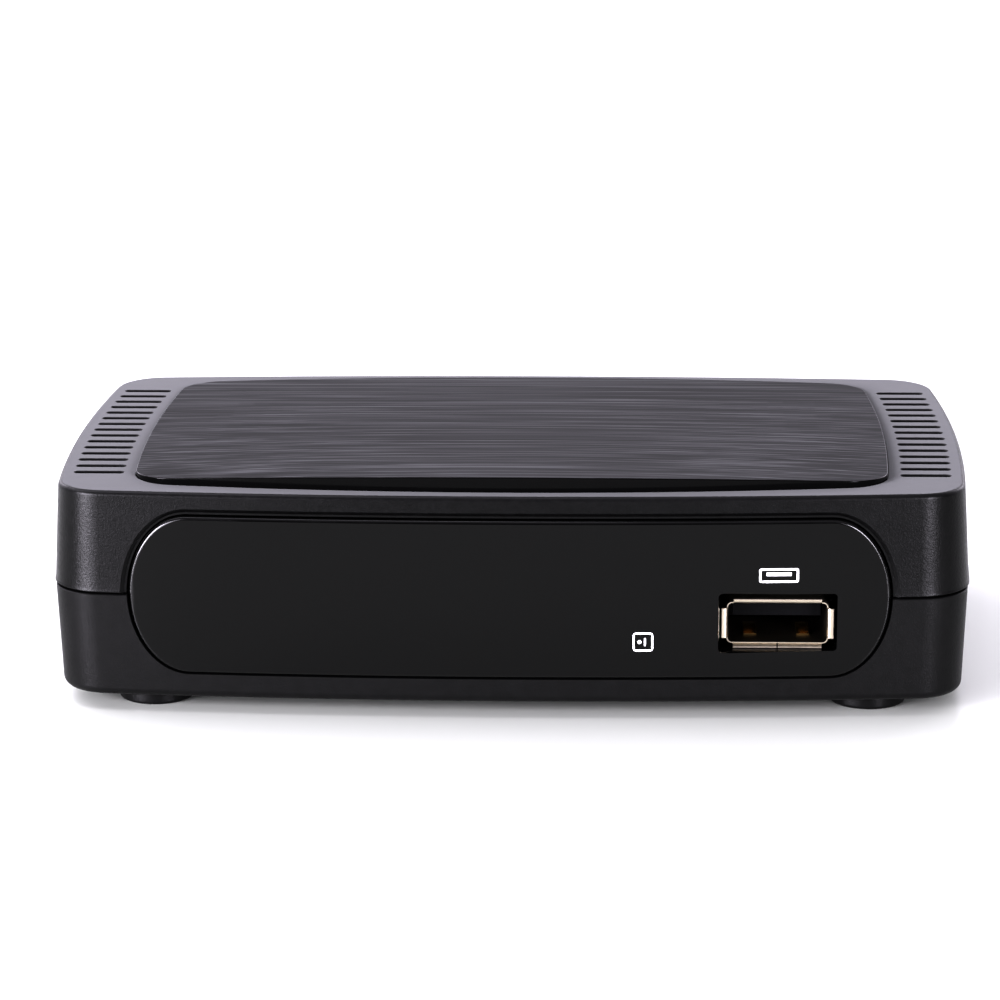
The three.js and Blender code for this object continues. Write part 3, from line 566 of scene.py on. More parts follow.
TONGUE = plastic_paint("tongue_plastic", (0.004, 0.004, 0.005), 0.5, specular=0.15)
CHIP = plastic_paint("chip_epoxy", (0.018, 0.018, 0.020), 0.55, grain=0.4)
PAD = plastic_paint("pad_silicone", (0.20, 0.32, 0.48), 0.7)
SLEEVE = plastic_paint("can_sleeve", (0.015, 0.025, 0.055), 0.3)
EPOXY = plastic_paint("led_epoxy", (0.70, 0.75, 0.75), 0.12, grain=0.02)
BOARD = board_paint()


# ------------------------ case


AERIAL_HOLE_RADIUS = 5.4 * MM


def centre_of(name):
    """Middle of a node's CAD box in front view, and the box."""
    lo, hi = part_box(name)
    return (lo.x + hi.x) / 2, (lo.z + hi.z) / 2, lo, hi


def rear_cutters():
    """Holes for the rear sockets, each a little larger than the socket that it lets through."""
    y0, y1 = TOP_HI.y - 6 * MM, TOP_HI.y + 2 * MM
    cutters = []
    for name in ("aerial_in_barrel", "aerial_out_barrel"):
        x, z = centre_of(name)[:2]
        cutters.append(cylinder_cutter((x, 0, z), AERIAL_HOLE_RADIUS, y0, y1))
    x, z, lo, hi = centre_of("av_jack_nose")
    cutters.append(cylinder_cutter((x, 0, z), (hi.x - lo.x) / 2 + GAP, y0, y1))
    for name in ("video_socket_shell", "power_jack_body"):
        x, z, lo, hi = centre_of(name)
        half_x, half_z = (hi.x - lo.x) / 2 + GAP, (hi.z - lo.z) / 2 + GAP
        cutters.append(loft("cutter", [box_ring((x, z), half_x, half_z, 0.5 * MM, y) for y in (y0, y1)]))
    return cutters


FEET = ["foot_front_left", "foot_front_right", "foot_rear_left", "foot_rear_right"]
SCREW_BOXES = [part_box(f"case_screw_{i}") for i in (1, 2, 3, 4)]
BOSS_PLACES = [((lo.x + hi.x) / 2, (lo.y + hi.y) / 2) for lo, hi in SCREW_BOXES]


def slot_cutter(x, y, length, width, z0, z1):
    """Round-ended slot whose upper edges are eased."""
    ease = 0.12 * MM
    rings = []
    for z, grow in ((z0, 0), (z1 - ease, 0), (z1, ease), (z1 + MM, ease)):
        radius = width / 2 + grow
        reach = length / 2 - width / 2
        ring = arc((x + reach, y), radius, -pi / 2, pi / 2, 8) + [(x + reach, y + radius)]
        ring += arc((x - reach, y), radius, pi / 2, 3 * pi / 2, 8) + [(x - reach, y - radius)]
        rings.append([Vector((px, py, z)) for px, py in ring])
    return loft("cutter", rings)


def make_top_shell():
    slope = FLARE / (RIM_Z - SPLIT_TOP_Z)
    edge = 0.65 * MM  # rounding between the wall and the roof
    hem = ((0, -0.08), (0.1, 0.06), (0.28, 0.06))  # rise and spread of the wall's lower edge, in mm
    rings = [case_ring(SPLIT_TOP_Z + rise * MM, FLARE + spread * MM) for rise, spread in hem]
    heights = [SPLIT_TOP_Z + 0.5 * MM + i * 2.8 * MM for i in range(4)]
    rings += [case_ring(z, slope * (RIM_Z - z)) for z in heights]
    for i in range(9):
        turn = i * pi / 16
        z = RIM_Z - edge + edge * sin(turn)
        rings.append(case_ring(z, slope * edge - edge + edge * cos(turn)))
    shell = loft("top_shell_skin", rings)
    cavity = loft("cutter", [
        case_ring(SPLIT_TOP_Z - MM, FLARE - WALL), case_ring(RIM_Z - WALL, -WALL)])
    seat = loft("cutter", [
        plate_ring(0.12 * MM, lambda x, y: PLATE_LO.z), plate_ring(0.12 * MM, lambda x, y: RIM_Z + MM)])
    chamfer, ledge = 0.5 * MM, 0.26 * MM
    opening = loft("cutter", [
        wall_ring(-2 * chamfer, WINDOW_GAP + ledge + 3 * chamfer), wall_ring(chamfer, WINDOW_GAP + ledge),
        wall_ring(chamfer + 0.03 * MM, WINDOW_GAP), wall_ring(6 * MM, WINDOW_GAP)], strips=True)
    slots = []
    for i in range(VENTS):
        y = VENT_FIRST_Y + i * VENT_PITCH
        x = RIM["half_x"] - y**2 / (2 * RIM["side_bow"]) - VENT_MARGIN - VENT_LENGTH / 2
        for side in (-1, 1):
            slots.append(slot_cutter(
                side * x, CASE_Y + y, VENT_LENGTH, VENT_WIDTH, RIM_Z - WALL - 0.5 * MM, RIM_Z))
    carve(shell, cavity)
    carve(shell, seat, opening, united("cutter", *slots), united("cutter", *rear_cutters()))
    dress(shell, TOP_PLASTIC, replaces=["top_shell"])
    shell.data.materials.append(TOP_PAINTED_SHEEN)
    # The flat roof takes the lighter, sheened copy of the plastic: painted light on the top.
    for polygon in shell.data.polygons:
        sheen_lit_top = polygon.normal.z > 0.99 and polygon.center.z > RIM_Z - 0.01 * MM
        polygon.material_index = 1 if sheen_lit_top else 0


def make_bottom_shell():
    edge = 1.1 * MM  # rounding between the wall and the underside
    lip = -1.52 * MM  # the lip inside the top shell stands this far in from the rim
    rings = []
    for i in range(9):
        turn = (8 - i) * pi / 16
        z = UNDERSIDE_Z + edge - edge * sin(turn)
        rings.append(case_ring(z, -edge + edge * cos(turn), LOWER_BASE))
    base_z = UNDERSIDE_Z + edge
    for i in range(1, 6):
        share = i / 5
        blend = {k: LOWER_BASE[k] + (LOWER_TOP[k] - LOWER_BASE[k]) * share for k in RIM}
        z = base_z + (SPLIT_BOTTOM_Z - 0.1 * MM - base_z) * share
        rings.append(case_ring(z, 0, blend))
    rings.append(case_ring(SPLIT_BOTTOM_Z, -0.1 * MM, LOWER_TOP))
    rings.append(case_ring(SPLIT_BOTTOM_Z, lip))
    rings.append(case_ring(LIP_Z, lip))
    shell = loft("bottom_shell_skin", rings)
    floor_z = UNDERSIDE_Z + WALL
    cavity = loft("cutter", [case_ring(floor_z, -1.9 * MM), case_ring(LIP_Z + MM, lip - 0.8 * MM)])
    opening = loft("cutter", [
        window_ring(-5 * MM, SEAM), window_ring(0.2 * MM, SEAM), window_ring(5 * MM, SEAM)], strips=True)
    sink_radius, sink_top = 2.7 * MM, 3.4 * MM
    sinks = [upright_cutter(x, y, sink_radius, 0, sink_top) for x, y in BOSS_PLACES]
    feet = []
    for name in FEET:
        lo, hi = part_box(name)
        feet.append(upright_cutter((lo.x + hi.x) / 2, (lo.y + hi.y) / 2, (hi.x - lo.x) / 2 + GAP, 0, hi.z))
    vents = []
    for i in range(UNDER_VENTS):
        for side in (-1, 1):
            x, y = side * UNDER_VENT_X, CASE_Y + (i - UNDER_VENTS // 2) * UNDER_VENT_PITCH
            size = UNDER_VENT_LENGTH, UNDER_VENT_WIDTH
            vents.append(slot_cutter(x, y, *size, UNDERSIDE_Z - MM, floor_z + MM))
    carve(shell, cavity)
    carve(shell, opening, united("cutter", *rear_cutters()), united("cutter", *sinks, *feet, *vents))
    dress(shell, LOWER_PLASTIC, replaces=["bottom_shell"])


def make_feet():
    for name in FEET:
        lo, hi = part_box(name)
        radius, dish = (hi.x - lo.x) / 2, 0.25 * MM
        profile = [(0, dish), (radius - 1.6 * MM, dish), (radius - 1.3 * MM, 0),
                   (radius, 0), (radius, hi.z), (0, hi.z)]
        centre = ((lo.x + hi.x) / 2, (lo.y + hi.y) / 2, 0)
        foot = turned(f"{name}_rubber", rounded(profile, 0.5 * MM, 6), centre, "z", 72)
        dress(foot, RUBBER, replaces=[name])


def make_cover_plate():
    edge = 0.13 * MM
    rings = [plate_ring(0, lambda x, y: PLATE_LO.z)]
    for i in range(6):
        turn = i * pi / 10
        drop = edge - edge * sin(turn)
        rings.append(plate_ring(-edge + edge * cos(turn), lambda x, y: plate_top(x, y) - drop))
    plate = loft("cover_plate_sheet", rings, strips=True)
    dress(plate, PLATE_TOP, replaces=["cover_plate"])
    plate.data.materials.append(PLATE_EDGE)
    for polygon in plate.data.polygons:
        polygon.material_index = 0 if polygon.normal.z > 0.9 else 1


def make_window():
    edge = 0.55 * MM  # rounding of its front edge
    front = 3.6 * MM  # depth at which the flange starts
    back = WINDOW_HI.y - window_y(WINDOW_HI.x)
    rings = []
    for i in range(8):
        turn = i * pi / 14
        rings.append(window_ring(edge - edge * cos(turn), -edge + edge * sin(turn)))
    rings += [window_ring(front, 0), window_ring(front, FLANGE), window_ring(back, FLANGE)]
    window = loft("front_window_lens", rings, strips=True)
    centre = (PORT_X + 0.05 * MM, PORT_Z + 0.45 * MM)  # the port sits a little low in its hole
    half_x, half_z = 7.4 * MM, 3.75 * MM
    face = window_y(PORT_X)
    ease = 0.08 * MM
    levels = [(face - 2 * MM, 2 * ease), (face - 0.3 * MM, 2 * ease), (face + ease, 0), (face + 9 * MM, 0)]
    hole = loft("cutter", [
        box_ring(centre, half_x + g, half_z + g, 0.45 * MM + g, y) for y, g in levels])
    carve(window, hole)
    dress(window, WINDOW, replaces=["front_window"])
    window.data.materials.append(WINDOW_EDGE)
    for polygon in window.data.polygons:
        on_edge = polygon.normal.y > -0.985 and polygon.center.y < window_y(polygon.center.x) + edge
        polygon.material_index = 1 if on_edge else 0


# ------------------------ USB port


SHEET = 0.3 * MM  # thickness of the port's metal shell
LEAF_X, LEAF_WIDTH = 3.35 * MM, 1.6 * MM
BEND, LOWER_BEND = 84, 34  # how far the lips round the mouth bend outwards, in degrees


def lip_section(root, out, rise, bend):
    """Section of a lip that bends outwards from root by the angle bend, then runs on to a round edge."""
    radius = 0.3 * MM
    rise -= SHEET / 2 * sin(bend)
    straight = (rise - radius * (1 - cos(bend))) / sin(bend)
    reach = radius * sin(bend) + straight * cos(bend)
    line = []
    for i in range(7):
        turn = bend * i / 6
        line.append((radius * sin(turn), radius * (1 - cos(turn)), turn))
    line.append((reach, rise, bend))
    inner, outer = [], []
    for along, lift, turn in line:
        middle = root + Vector((0, reach - along, 0)) + out * lift
        across = (Vector((0, -sin(turn), 0)) - out * cos(turn)) * SHEET / 2
        inner.append(middle + across)
        outer.append(middle - across)
    onward = (out * sin(bend) - Vector((0, cos(bend), 0))) * SHEET / 2
    nose = [middle + across * cos(i * pi / 8) + onward * sin(i * pi / 8) for i in range(1, 8)]
    return inner + nose + outer[::-1]


def spring_leaf(x, y, z):
    """Sprung tongue that stands up from the floor of the port and grips the plug."""
    length, height, thickness = 5.2 * MM, 0.45 * MM, 0.2 * MM
    line = [(y + length * i / 8, z + height * sin(pi * i / 8)) for i in range(9)]
    section = [(py, pz - 0.02 * MM) for py, pz in line]
    section += [(py, pz + thickness) for py, pz in reversed(line)]
    return loft("leaf", [[Vector((x + side * LEAF_WIDTH / 2, *p)) for p in section] for side in (-1, 1)])


def port_lips(mouth):
    """The lips round the mouth of the port: one above, two below and one at each side."""
    tall, wide = 3.25 * MM - PORT_HALF_Z - SHEET / 2, 7.15 * MM - PORT_HALF_X - SHEET / 2
    below = [(-5.6 * MM, -0.07 * MM), (0.07 * MM, 5.6 * MM)]
    beside = [(-1.95 * MM, 1.95 * MM)]
    lips = [
        ((0, 0, 1), [(-5.55 * MM, 5.55 * MM)], PORT_HALF_Z, tall, BEND),
        ((0, 0, -1), below, PORT_HALF_Z, tall, LOWER_BEND),
        ((1, 0, 0), beside, PORT_HALF_X, wide, BEND),
        ((-1, 0, 0), beside, PORT_HALF_X, wide, BEND),
    ]
    pieces = []
    for out, spans, half, rise, degrees in lips:
        out = Vector(out)
        side = Vector((1, 0, 0)) if out.z else Vector((0, 0, 1))
        root = Vector((PORT_X, mouth, PORT_Z)) + out * (half + SHEET / 2)
        loop = lip_section(root, out, rise, radians(degrees))
        for start, end in spans:
            pieces.append(loft("lip", [[p + side * s for p in loop] for s in (start, end)]))
    return pieces


def paint_port(shell, front):
    """Painted shade: a dark copy of the port metal inside the port and on the faces of its lower lips that
    look up and forward, and gold on the leaves.
    """
    shell.data.materials.append(PORT_PAINTED_SHADE)
    shell.data.materials.append(GOLD)
    touch = 0.01 * MM
    for polygon in shell.data.polygons:
        off = polygon.center - Vector((PORT_X, polygon.center.y, PORT_Z))
        within = abs(off.x) < PORT_HALF_X + touch and abs(off.z) < PORT_HALF_Z + touch
        bent = abs(polygon.normal.z - cos(radians(LOWER_BEND))) < 0.02
        shaded_lower_lip = bent and off.z < -PORT_HALF_Z - SHEET
        on_leaf = abs(abs(off.x) - LEAF_X) < LEAF_WIDTH / 2 + 2 * touch
        leaf = within and on_leaf and 0.02 * MM < off.z + PORT_HALF_Z < 0.8 * MM
        inside = within and polygon.center.y > front + 0.5 * MM
        # Faces deep in the port and the lower lips' upward faces take the painted shade.
        polygon.material_index = 2 if leaf else 1 if shaded_lower_lip or inside else 0


def make_usb_shell():
    mouth, back = USB_LO.y, USB_HI.y
    front = mouth + 0.25 * MM

    def ring(grow, y):
        centre = (PORT_X, PORT_Z)
        return box_ring(centre, PORT_HALF_X + grow, PORT_HALF_Z + grow, 0.55 * MM + grow, y)

    tube = loft("tube", [
        ring(SHEET / 2, front), ring(SHEET, front + SHEET), ring(SHEET, back),
        ring(0, back), ring(0, front)], closed=True)
    leaves = [spring_leaf(PORT_X + x, mouth + 3.4 * MM, PORT_Z - PORT_HALF_Z) for x in (-LEAF_X, LEAF_X)]
    shell = united("usb_shell_sheet", tube, *port_lips(mouth), *leaves)
    dress(shell, PORT_STEEL, replaces=["usb_shell"], degrees=40)
    paint_port(shell, front)


# ------------------------ rear sockets


def aerial_barrel(name, outer):
    """Stepped barrel with a collar just outside the wall and an eased mouth."""
    x, z, lo, hi = centre_of(f"{name}_barrel")
    inner, bore, flange = outer - 0.6 * MM, 1.8 * MM, 6.0 * MM
    collar, ease = outer + 0.25 * MM, 0.1 * MM
    y0, y1 = lo.y, hi.y
    wall = CASE_Y + RIM["half_y"] + 1.6 * MM
    profile = [
        (bore, y0), (flange - ease, y0), (flange, y0 + ease), (flange, y0 + 1.3 * MM),
        (flange - ease, y0 + 1.4 * MM), (outer, y0 + 1.4 * MM), (outer, wall),
        (collar, wall + ease), (collar, wall + 0.9 * MM), (outer, wall + MM),
        (outer, y1 - 0.5 * MM), (outer - 0.12 * MM, y1 - 0.15 * MM), (outer - 0.3 * MM, y1),
        (inner + ease, y1), (inner, y1 - 0.15 * MM), (inner, y0 + 2.4 * MM), (bore, y0 + 2.4 * MM),
    ]
    barrel = turned(f"{name}_barrel_turned", profile, (x, 0, z), "y", 96)
    dress(barrel, SOCKET_METAL, replaces=[f"{name}_barrel"])


def aerial_insulator(name):
    x, z, lo, hi = centre_of(f"{name}_insulator")
    radius, bore = (hi.x - lo.x) / 2, 1.6 * MM
    profile = [
        (bore, lo.y), (radius, lo.y), (radius, hi.y - 0.3 * MM), (radius - 0.3 * MM, hi.y),
        (2.4 * MM, hi.y), (2.0 * MM, hi.y - 0.5 * MM), (bore, hi.y - 0.5 * MM),
    ]
    plug = turned(f"{name}_insulator_turned", profile, (x, 0, z), "y", 64)
    dress(plug, WHITE, replaces=[f"{name}_insulator"])


def aerial_contact(name, slotted):
    """Centre contact: a slotted sleeve, or a pin with a round tip."""
    x, z, lo, hi = centre_of(f"{name}_contact")
    radius, bore, ease = (hi.x - lo.x) / 2, 0.85 * MM, 0.1 * MM
    if slotted:
        profile = [
            (0, lo.y), (radius, lo.y), (radius, hi.y - ease), (radius - ease, hi.y),
            (bore + ease, hi.y), (bore, hi.y - 2 * ease), (bore, hi.y - 6 * MM), (0, hi.y - 6.4 * MM),
        ]
    else:
        profile = rounded([(0, lo.y), (radius, lo.y), (radius, hi.y), (0, hi.y)], 0.8 * MM, 6)
    contact = turned(f"{name}_contact_turned", profile, (x, 0, z), "y", 48)
    if slotted:
        slits = []
        depths = (hi.y - 4 * MM, hi.y + MM)
        for half_x, half_z in ((0.15 * MM, 3 * MM), (3 * MM, 0.15 * MM)):
            rings = [box_ring((x, z), half_x, half_z, 0.02 * MM, y, 1) for y in depths]
            slits.append(loft("cutter", rings))
        carve(contact, *slits)
    dress(contact, GOLD, replaces=[f"{name}_contact"])


def make_aerial_sockets():
    for name, outer, slotted in (("aerial_in", 4.75 * MM, True), ("aerial_out", 4.5 * MM, False)):
        aerial_barrel(name, outer)
        aerial_insulator(name)
        aerial_contact(name, slotted)


def make_video_socket():
    x, z, lo, hi = centre_of("video_socket_shell")
    sheet = 0.4 * MM
    half_x, half_z = (hi.x - lo.x) / 2, (hi.z - lo.z) / 2

    def ring(inset, y):
        """Outline with its lower corners cut off and all corners rounded."""
        w, h, cut = half_x - inset, half_z - inset, 1.6 * MM
        corners = [(w, h), (-w, h), (-w, -0.1 * h), (-w + cut, -h), (w - cut, -h), (w, -0.1 * h)]
        points = []
        for i, here in enumerate(corners):
            before, after = Vector(corners[i - 1]), Vector(corners[(i + 1) % 6])
            here = Vector(here)
            reach = 0.5 * MM - inset * 0.6
            start = here + (before - here).normalized() * reach
            end = here + (after - here).normalized() * reach
            for k in range(5):
                t = k / 4
                points.append(start * (1 - t) ** 2 + here * 2 * t * (1 - t) + end * t**2)
        return [Vector((x + p.x, y, z + p.y)) for p in points]

    ease = 0.1 * MM
    shell = loft("video_socket_shell_sheet", [
        ring(0, lo.y), ring(0, hi.y - ease), ring(ease, hi.y), ring(sheet - ease / 2, hi.y),
        ring(sheet, hi.y - ease), ring(sheet, lo.y + sheet)])
    dress(shell, SOCKET_METAL, replaces=["video_socket_shell"])


def make_jacks():
    x, z, lo, hi = centre_of("av_jack_nose")
    radius, bore, ease = (hi.x - lo.x) / 2, 1.85 * MM, 0.1 * MM
    profile = [
        (bore, lo.y), (radius, lo.y), (radius, hi.y - 3 * ease), (radius - ease, hi.y - ease),
        (radius - 3 * ease, hi.y), (bore + 2.5 * ease, hi.y), (bore, hi.y - 2.5 * ease),
    ]
    nose = turned("av_jack_nose_turned", profile, (x, 0, z), "y", 72)
    dress(nose, GOLD, replaces=["av_jack_nose"])
    x, z, lo, hi = centre_of("power_jack_pin")
    head, head_end, radius = 2.2 * MM, lo.y + 0.8 * MM, 1.0 * MM
    profile = [(0, lo.y), (head, lo.y), (head, head_end), (radius, head_end), (radius, hi.y), (0, hi.y)]
    pin = turned("power_jack_pin_turned", rounded(profile, 0.35 * MM, 4), (x, 0, z), "y", 48)
    dress(pin, SOCKET_METAL, replaces=["power_jack_pin"])


# ------------------------ screws


def screw_mesh(name, x, y, head_z, head_side, head_radius, head_height, core, tip_z):
    """Pan head with a cross recess on a shank with a helical thread; head_side is +1 above, -1 below."""
    rings, segments = [], 28
    pitch, depth = 0.9 * MM, 0.22 * MM
    length = abs(tip_z - head_z)
    steps = int(length / pitch * 7)
    for k in range(steps + 1):
        along = length * k / steps
        taper = min(1.0, (length - along) / (2 * MM)) ** 0.5 if along < length else 0.15
        ring, z = [], head_z - head_side * along
        for i in range(segments):
            turn = 2 * pi * i / segments
            crest = max(0.0, cos(turn - 2 * pi * along / pitch)) ** 3 if along > 0.4 * MM else 0
            radius = max(0.15 * MM, (core + depth * crest) * taper)
            ring.append(Vector((x + radius * cos(turn), y + radius * sin(turn), z)))
        rings.append(ring)
    shank = loft("shank", rings)
    rise = head_side * head_height
    profile = rounded([(0, 0), (head_radius, 0), (head_radius, rise), (0, rise)], 0.55 * MM, 6)
    head = turned("head", profile, (x, y, head_z), "z", 48)
    top = head_z + rise
    blades = []
    for half_x, half_y in ((0.28 * MM, 1.25 * MM), (1.25 * MM, 0.28 * MM)):
        low, high = top - head_side * 1.0 * MM, top + head_side * 0.3 * MM
        rings = []
        for z, scale in ((low, 0.55), (high, 1.1)):
            corners = [(half_x, half_y), (-half_x, half_y), (-half_x, -half_y), (half_x, -half_y)]
            rings.append([Vector((x + a * scale, y + b * scale, z)) for a, b in corners])
        blades.append(loft("cutter", rings))
    carve(head, *blades)
    return united(name, shank, head)


def make_screws():
    """Case screws stand on their heads in the underside; board screws point down."""
    radius, height, core = 2.4 * MM, 1.65 * MM, 1.1 * MM
    for i in (1, 2, 3, 4):
        name = f"case_screw_{i}"
        lo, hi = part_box(name)
        x, y = (lo.x + hi.x) / 2, (lo.y + hi.y) / 2
        screw = screw_mesh(f"{name}_turned", x, y, lo.z + height, -1, radius, height, core, hi.z)
        dress(screw, SCREW_BLACK, replaces=[name])
    radius, height, core = 2.2 * MM, 1.5 * MM, 0.85 * MM
    for i in (1, 2):
        name = f"board_screw_{i}"
        lo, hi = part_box(name)
        x, y = (lo.x + hi.x) / 2, (lo.y + hi.y) / 2
        screw = screw_mesh(f"{name}_turned", x, y, hi.z - height, 1, radius, height, core, lo.z)
        dress(screw, SCREW_STEEL, replaces=[name])


# ------------------------ board pieces


def make_capacitors():
    for i in (1, 2, 3, 4):
        lo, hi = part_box(f"capacitor_{i}")
        x, y = (lo.x + hi.x) / 2, (lo.y + hi.y) / 2
        radius, top, groove = (hi.x - lo.x) / 2, hi.z, 0.28 * MM
        profile = [
            (0, lo.z), (radius, lo.z), (radius, top - 2.3 * MM), (radius - groove, top - 1.8 * MM),
            (radius, top - 1.3 * MM), (radius, top), (radius - 0.5 * MM, top), (0, top - 0.1 * MM),
        ]
        can = turned(f"capacitor_{i}_can", rounded(profile, 0.3 * MM, 4), (x, y, 0), "z", 56)
        dress(can, SLEEVE, replaces=[f"capacitor_{i}"])
        can.data.materials.append(ALUMINIUM)
        for polygon in can.data.polygons:
            inside = hypot(polygon.center.x - x, polygon.center.y - y) < radius * 0.9
            polygon.material_index = 1 if polygon.center.z > top - 0.3 * MM and inside else 0


def make_status_led():
    x, z, lo, hi = centre_of("status_led")
    dome, rim = 1.5 * MM, 1.9 * MM
    profile = [(0, lo.y)]
    for i in range(1, 9):
        turn = i * pi / 16
        profile.append((dome * sin(turn), lo.y + dome * (1 - cos(turn))))
    profile += [(dome, hi.y - MM), (rim, hi.y - MM), (rim, hi.y), (0, hi.y)]
    light = turned("status_led_lens", profile, (x, 0, z), "y", 48)
    dress(light, EPOXY, replaces=["status_led"])


KEPT = {
    "main_board": (BOARD, 0.05), "main_processor": (CHIP, 0.15), "memory_chip": (CHIP, 0.1),
    "flash_chip": (CHIP, 0.1), "regulator_chip": (CHIP, 0.1), "inductor_1": (CHIP, 0.4),
    "inductor_2": (CHIP, 0.4), "ir_receiver": (CHIP, 0.1), "thermal_pad": (PAD, 0.1),
    "heatsink": (ALUMINIUM, 0.1), "crystal": (TIN, 0.6), "tuner_can": (TIN, 0.35),
    "ir_receiver_cage": (TIN, 0.04), "status_led_holder": (BLACK, 0.15), "usb_insulator": (TONGUE, 0.08),
    "usb_contact_1": (GOLD, 0.04), "usb_contact_2": (GOLD, 0.04), "usb_contact_3": (GOLD, 0.04),
    "usb_contact_4": (GOLD, 0.04), "video_socket_tongue": (BLACK, 0.08), "av_jack_body": (BLACK, 0.15),
    "power_jack_body": (BLACK, 0.12),
}


def dress_kept_nodes():
    """CAD nodes whose shape is right get eased edges and a finished material."""
    for name, (material, ease) in KEPT.items():
        node = NODES[name]
        node.data.materials.clear()
        node.data.materials.append(material)
        ease_edges(node, ease * MM)


# ------------------------ printed marks


LIFT, INK_DEPTH = 0.012 * MM, 0.02 * MM  # gap between ink and window, and thickness of the ink


def printed(flat, depth):
    """A ring in front view laid on the window, depth behind the face of the ink."""
    return [Vector((p.x, window_y(p.x) - LIFT - INK_DEPTH + depth, p.z)) for p in flat]


def mark_frame(name, x, z, half_x, half_z, stroke, radius):
    """Rounded frame printed on the window."""
    def ring(inset, depth):
        corner = max(radius - inset, 0.05 * MM)
        return printed(box_ring((x, z), half_x - inset, half_z - inset, corner, 0, 6), depth)

    rings = [ring(0, 0), ring(0, INK_DEPTH), ring(stroke, INK_DEPTH), ring(stroke, 0)]
    return loft(name, rings, closed=True)


def mark_patch(name, x, z, half_x, half_z, radius):
    """Rounded filled patch printed on the window."""
    flat = box_ring((x, z), half_x, half_z, radius, 0, 6)
    return loft(name, [printed(flat, depth) for depth in (0, INK_DEPTH)])


def make_marks():
    x, z = 34.0 * MM, 18.85 * MM
    frame = mark_frame("frame", x, z, 2.5 * MM, 0.95 * MM, 0.30 * MM, 0.3 * MM)
    bar = mark_patch("bar", x, z + 0.17 * MM, 1.6 * MM, 0.24 * MM, 0.1 * MM)
    dress(united("port_mark", frame, bar), INK)
    x, z = 17.0 * MM, 10.25 * MM
    frame = mark_frame("frame", x, z, 1.3 * MM, 1.25 * MM, 0.26 * MM, 0.45 * MM)
    dot = mark_patch("dot", x - 0.45 * MM, z, 0.26 * MM, 0.26 * MM, 0.24 * MM)
    wave = mark_patch("wave", x + 0.25 * MM, z, 0.13 * MM, 0.55 * MM, 0.12 * MM)
    dress(united("remote_mark", frame, dot, wave), INK)


# ------------------------ studio

FRONT_GLOW = 0.12
BACK_GLOW = 2.0
ZENITH_GLOW = 0.9
STUDIO_TINT = (1.0, 0.965, 1.06)
CONTRAST = 0.68  # darker shadows and mid tones, as in a catalogue picture


def make_world():
    """Bright behind the object and dim in front of it; plain white where the camera sees it."""
    world = bpy.data.worlds.new("studio")
    world.use_nodes = True
    tree = world.node_tree
    background = tree.nodes["Background"]
    direction = tree.nodes.new("ShaderNodeTexCoord").outputs["Generated"]
    parts = tree.nodes.new("ShaderNodeSeparateXYZ")
    tree.links.new(direction, parts.inputs["Vector"])

    def fade(axis, start, end, low, high):
        node = tree.nodes.new("ShaderNodeMapRange")
        node.interpolation_type = "SMOOTHSTEP"
        node.inputs["From Min"].default_value = start
        node.inputs["From Max"].default_value = end
        node.inputs["To Min"].default_value = low
        node.inputs["To Max"].default_value = high
        tree.links.new(parts.outputs[axis], node.inputs["Value"])
        return node.outputs["Result"]

    glow = tree.nodes.new("ShaderNodeMix")
    glow.data_type = "FLOAT"
    glow.inputs["B"].default_value = ZENITH_GLOW
    tree.links.new(fade("Z", 0.45, 0.80, 0.0, 1.0), glow.inputs["Factor"])
    tree.links.new(fade("Y", -0.2, 0.6, FRONT_GLOW, BACK_GLOW), glow.inputs["A"])
    seen = tree.nodes.new("ShaderNodeLightPath").outputs["Is Camera Ray"]
    choice = tree.nodes.new("ShaderNodeMix")
    choice.data_type = "FLOAT"
    choice.inputs["B"].default_value = 1.15
    tree.links.new(seen, choice.inputs["Factor"])
    tree.links.new(glow.outputs["Result"], choice.inputs["A"])
    tree.links.new(choice.outputs["Result"], background.inputs["Strength"])
    background.inputs["Color"].default_value = (*STUDIO_TINT, 1)
    SCENE.world = world
    SCENE.view_settings.view_transform = "Standard"
    SCENE.view_settings.gamma = CONTRAST


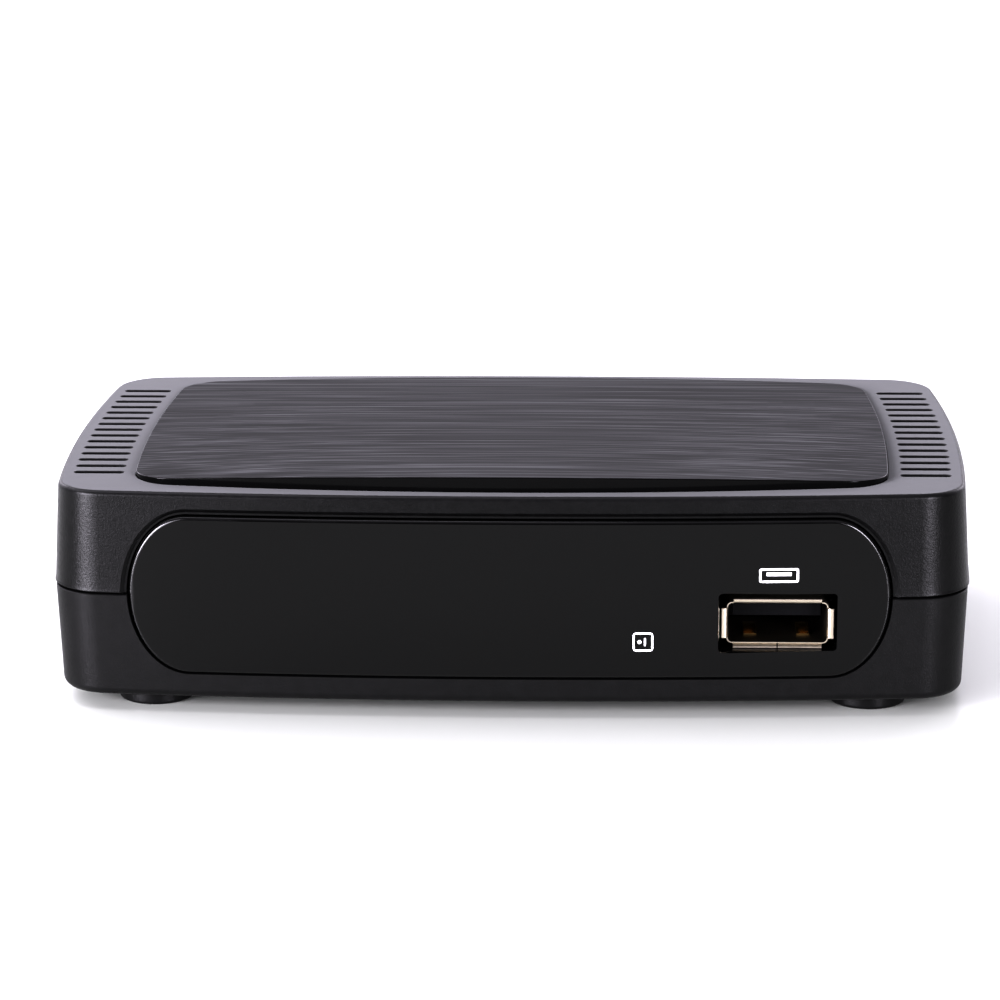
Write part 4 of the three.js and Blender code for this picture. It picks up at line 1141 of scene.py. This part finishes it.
def softbox(name, azimuth, elevation, distance, width, height, radiance):
    """Rectangular light that faces the object; azimuth is measured from -Y towards +X."""
    away = Vector((sin(radians(azimuth)) * cos(radians(elevation)),
                   -cos(radians(azimuth)) * cos(radians(elevation)), sin(radians(elevation))))
    light = bpy.data.lights.new(name, "AREA")
    light.shape = "RECTANGLE"
    light.size, light.size_y = width, height
    light.energy = radiance * pi * width * height
    light.color = STUDIO_TINT
    lamp = bpy.data.objects.new(name, light)
    lamp.location = away * distance
    lamp.rotation_euler = (-away).to_track_quat("-Z", "Y").to_euler()
    SCENE.collection.objects.link(lamp)


def make_studio():
    make_world()
    size = 0.8
    corners = [(-size, -size, 0), (size, -size, 0), (size, size, 0), (-size, size, 0)]
    floor = mesh_object("floor", corners, [(0, 1, 2, 3)])
    paint = Paint("floor_white", (0.60, 0.618, 0.577), 0.35, **{"Specular IOR Level": 0.4})
    paint.drive("Roughness", paint.spread(paint.noise(60, 2), 0.295, 0.305))
    floor.data.materials.append(paint.material)
    softbox("left_softbox", -50, 12, 0.95, 0.34, 0.5, 42)
    softbox("left_fill", -31, 12, 1.0, 0.26, 0.4, 15)
    softbox("overhead_arch", -98, 62, 1.0, 0.55, 1.2, 4.2)
    softbox("right_softbox", 35, 12, 0.95, 0.22, 0.5, 32)
    softbox("back_left_fill", -142, 25, 1.0, 0.3, 0.4, 5)
    softbox("back_right_fill", 142, 25, 1.0, 0.3, 0.4, 5)


def make_camera():
    """Long lens, a little above the case and a little to its right."""
    camera = bpy.data.cameras.new("camera")
    camera.lens = 125.1
    camera.sensor_width = 36
    camera.clip_end = 20
    place = bpy.data.objects.new("camera", camera)
    place.location = (0.0159, CASE_Y - 0.45235, 0.14087)
    place.rotation_euler = (radians(74.996), radians(0.317), radians(2.216))
    SCENE.collection.objects.link(place)
    SCENE.camera = place


make_camera()
make_studio()
make_top_shell()
make_bottom_shell()
make_feet()
make_cover_plate()
make_window()
make_usb_shell()
make_aerial_sockets()
make_video_socket()
make_jacks()
make_screws()
make_capacitors()
make_status_led()
dress_kept_nodes()
make_marks()

bpy.context.view_layer.update()
